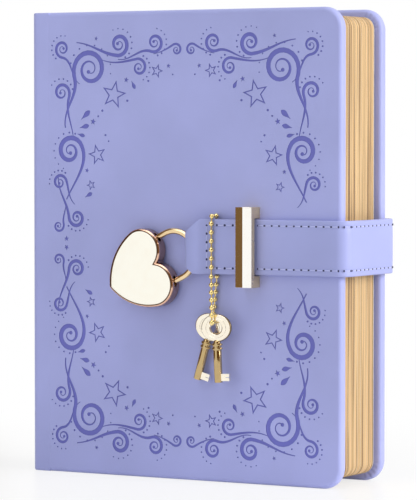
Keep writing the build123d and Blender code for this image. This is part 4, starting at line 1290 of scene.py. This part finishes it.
# The bead chain: hollow beads rolled round short wire links, looped over the strap and
# hanging down in two strands to the keys.
chain_gold = plated("chain_gold", (0.98, 0.80, 0.36, 1.0), (0.94, 0.68, 0.28, 1.0), 0.2)
worked_copy("chain_over_strap", "chain_loop", "front_cover", chain_gold, 0.0)
chain_strands = worked_copy("chain_strands", "chain_drop", "chain_drop", chain_gold, 0.0)
bead = 1.05 * MM
loop_low, loop_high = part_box("chain_loop")
chain_pivot = joints["chain_swing"]["pos_m"]
work = opened(chain_strands.data)
for y in (loop_low.y + bead, loop_high.y - bead):
    bmesh.ops.create_uvsphere(work, u_segments=16, v_segments=10, radius=bead,
                              matrix=Matrix.Translation((chain_pivot[0], y, chain_pivot[2])))
for face in work.faces:
    face.smooth = True
put_back(work, chain_strands.data)

# The two keys: cast pipe keys with a round bow, two collars, a hollow barrel and a bit.
# Each hangs on the chain by the hole in its bow.
key_gold = plated("key_gold", (0.97, 0.90, 0.76, 1.0), (0.92, 0.80, 0.60, 1.0), 0.08)
# The barrel and collars take a darker brass copy of the key's gold: painted shade.
painted_barrel_shade = plated("painted_barrel_shade", (0.56, 0.41, 0.20, 1.0), (0.44, 0.31, 0.15, 1.0), 0.1)
# A thin band round the bow's outer rim takes a dark brown copy of the key's metal: painted dark reflection.
painted_dark_bow_rim = plated("painted_dark_bow_rim", (0.30, 0.22, 0.11, 1.0), (0.20, 0.14, 0.07, 1.0), 0.35)
key_bow_side = 6.8
key_bow_half = 5.5
key_hole = 2.65
key_barrel = 1.65
key_bore = 0.75
key_end = -21.9
key_drop = 2.05
key_bore_depth = 5.0
painted_rim_share = 0.09
flag_half = 0.55
key_turns = 56


def pipe_key(name, node, body, joint, lean, shift):
    """One key, built hanging straight with its bow's centre at the origin, then hung on its pivot."""
    points = []
    marks = []
    circle = [2.0 * math.pi * i / key_turns for i in range(key_turns)]
    profile = [(0.0, 0.0), (0.0, -0.3), (0.02, -0.5), (0.06, -0.64), (0.10, -0.7), (0.12, -0.7), (0.50, -0.7),
               (0.52, -0.7), (0.535, -0.66), (0.55, -0.7), (0.57, -0.7), (0.88, -0.7), (0.90, -0.7),
               (0.96, -0.62), (1.0, -0.45), (1.0, 0.0)]
    profile += [(share, -y) for share, y in profile[-2:0:-1]]
    for share, y in profile:
        for a in circle:
            x = key_bow_side * math.cos(a) * (1.0 - share) + key_hole * math.cos(a) * share
            z = key_bow_half * math.sin(a) * (1.0 - share) + key_hole * math.sin(a) * share
            points.append(Vector((x, y, z)))
    faces = tube_faces(key_turns, len(profile), closed=True)
    # The band nearest the bow's outer rim takes the painted dark reflection.
    for (share, _), (next_share, _) in zip(profile, profile[1:] + profile[:1]):
        marks += [1 if max(share, next_share) < painted_rim_share else 0] * key_turns
    barrel = [(0.9, -4.9), (1.2, -5.2), (1.5, -5.6), (1.5, -6.2)]
    for top in (-6.25, -7.85):
        barrel += [(1.7, top), (2.15, top - 0.08), (2.25, top - 0.3), (2.25, top - 0.6), (2.15, top - 0.8),
                   (1.7, top - 0.9)]
    barrel += [(1.6, -8.9), (key_barrel, -9.2), (key_barrel, key_end + 0.2), (key_barrel - 0.15, key_end),
               (key_bore + 0.1, key_end), (key_bore, key_end + 0.15), (key_bore, key_end + key_bore_depth),
               (0.02, key_end + key_bore_depth + 0.2)]
    first = len(points)
    for radius, z in barrel:
        points += [Vector((radius * math.cos(a), min(radius, key_barrel) * math.sin(a), z)) for a in circle]
    faces += tube_faces(key_turns, len(barrel), first)
    # The barrel and collars take the painted shade.
    marks += [2] * (len(faces) - len(marks))
    flag = [(1.3, -21.3), (5.15, -21.3), (5.25, -21.2), (5.25, -19.95), (3.6, -19.95), (3.6, -19.75),
            (5.25, -19.75), (5.25, -18.5), (5.15, -18.4), (1.3, -18.4)]
    first = len(points)
    for y in (-flag_half, flag_half):
        points += [Vector((x, y, z)) for x, z in flag]
    size = len(flag)
    faces += [tuple(range(first, first + size)), tuple(range(first + size, first + 2 * size))]
    faces += tube_faces(size, 2, first)
    marks += [0] * (len(faces) - len(marks))
    low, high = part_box(node)
    pivot = joints[joint]["pos_m"]
    hang = (Matrix.Translation((pivot[0], (low.y + high.y) / 2.0, pivot[2]))
            @ Matrix.Rotation(math.radians(-lean), 4, "Y")
            @ Matrix.Scale(MM, 4) @ Matrix.Translation((shift, 0.0, -key_drop)))
    key = mesh_piece(name, [hang @ p for p in points], faces, [key_gold, painted_dark_bow_rim, painted_barrel_shade], marks,
                     sharp=50.0)
    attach(key, body)
    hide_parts(node)


pipe_key("front_pipe_key", "front_key", "front_key", "front_key_swing", 2.5, 1.0)
pipe_key("rear_pipe_key", "rear_key", "rear_key", "rear_key_swing", -16.0, 0.5)
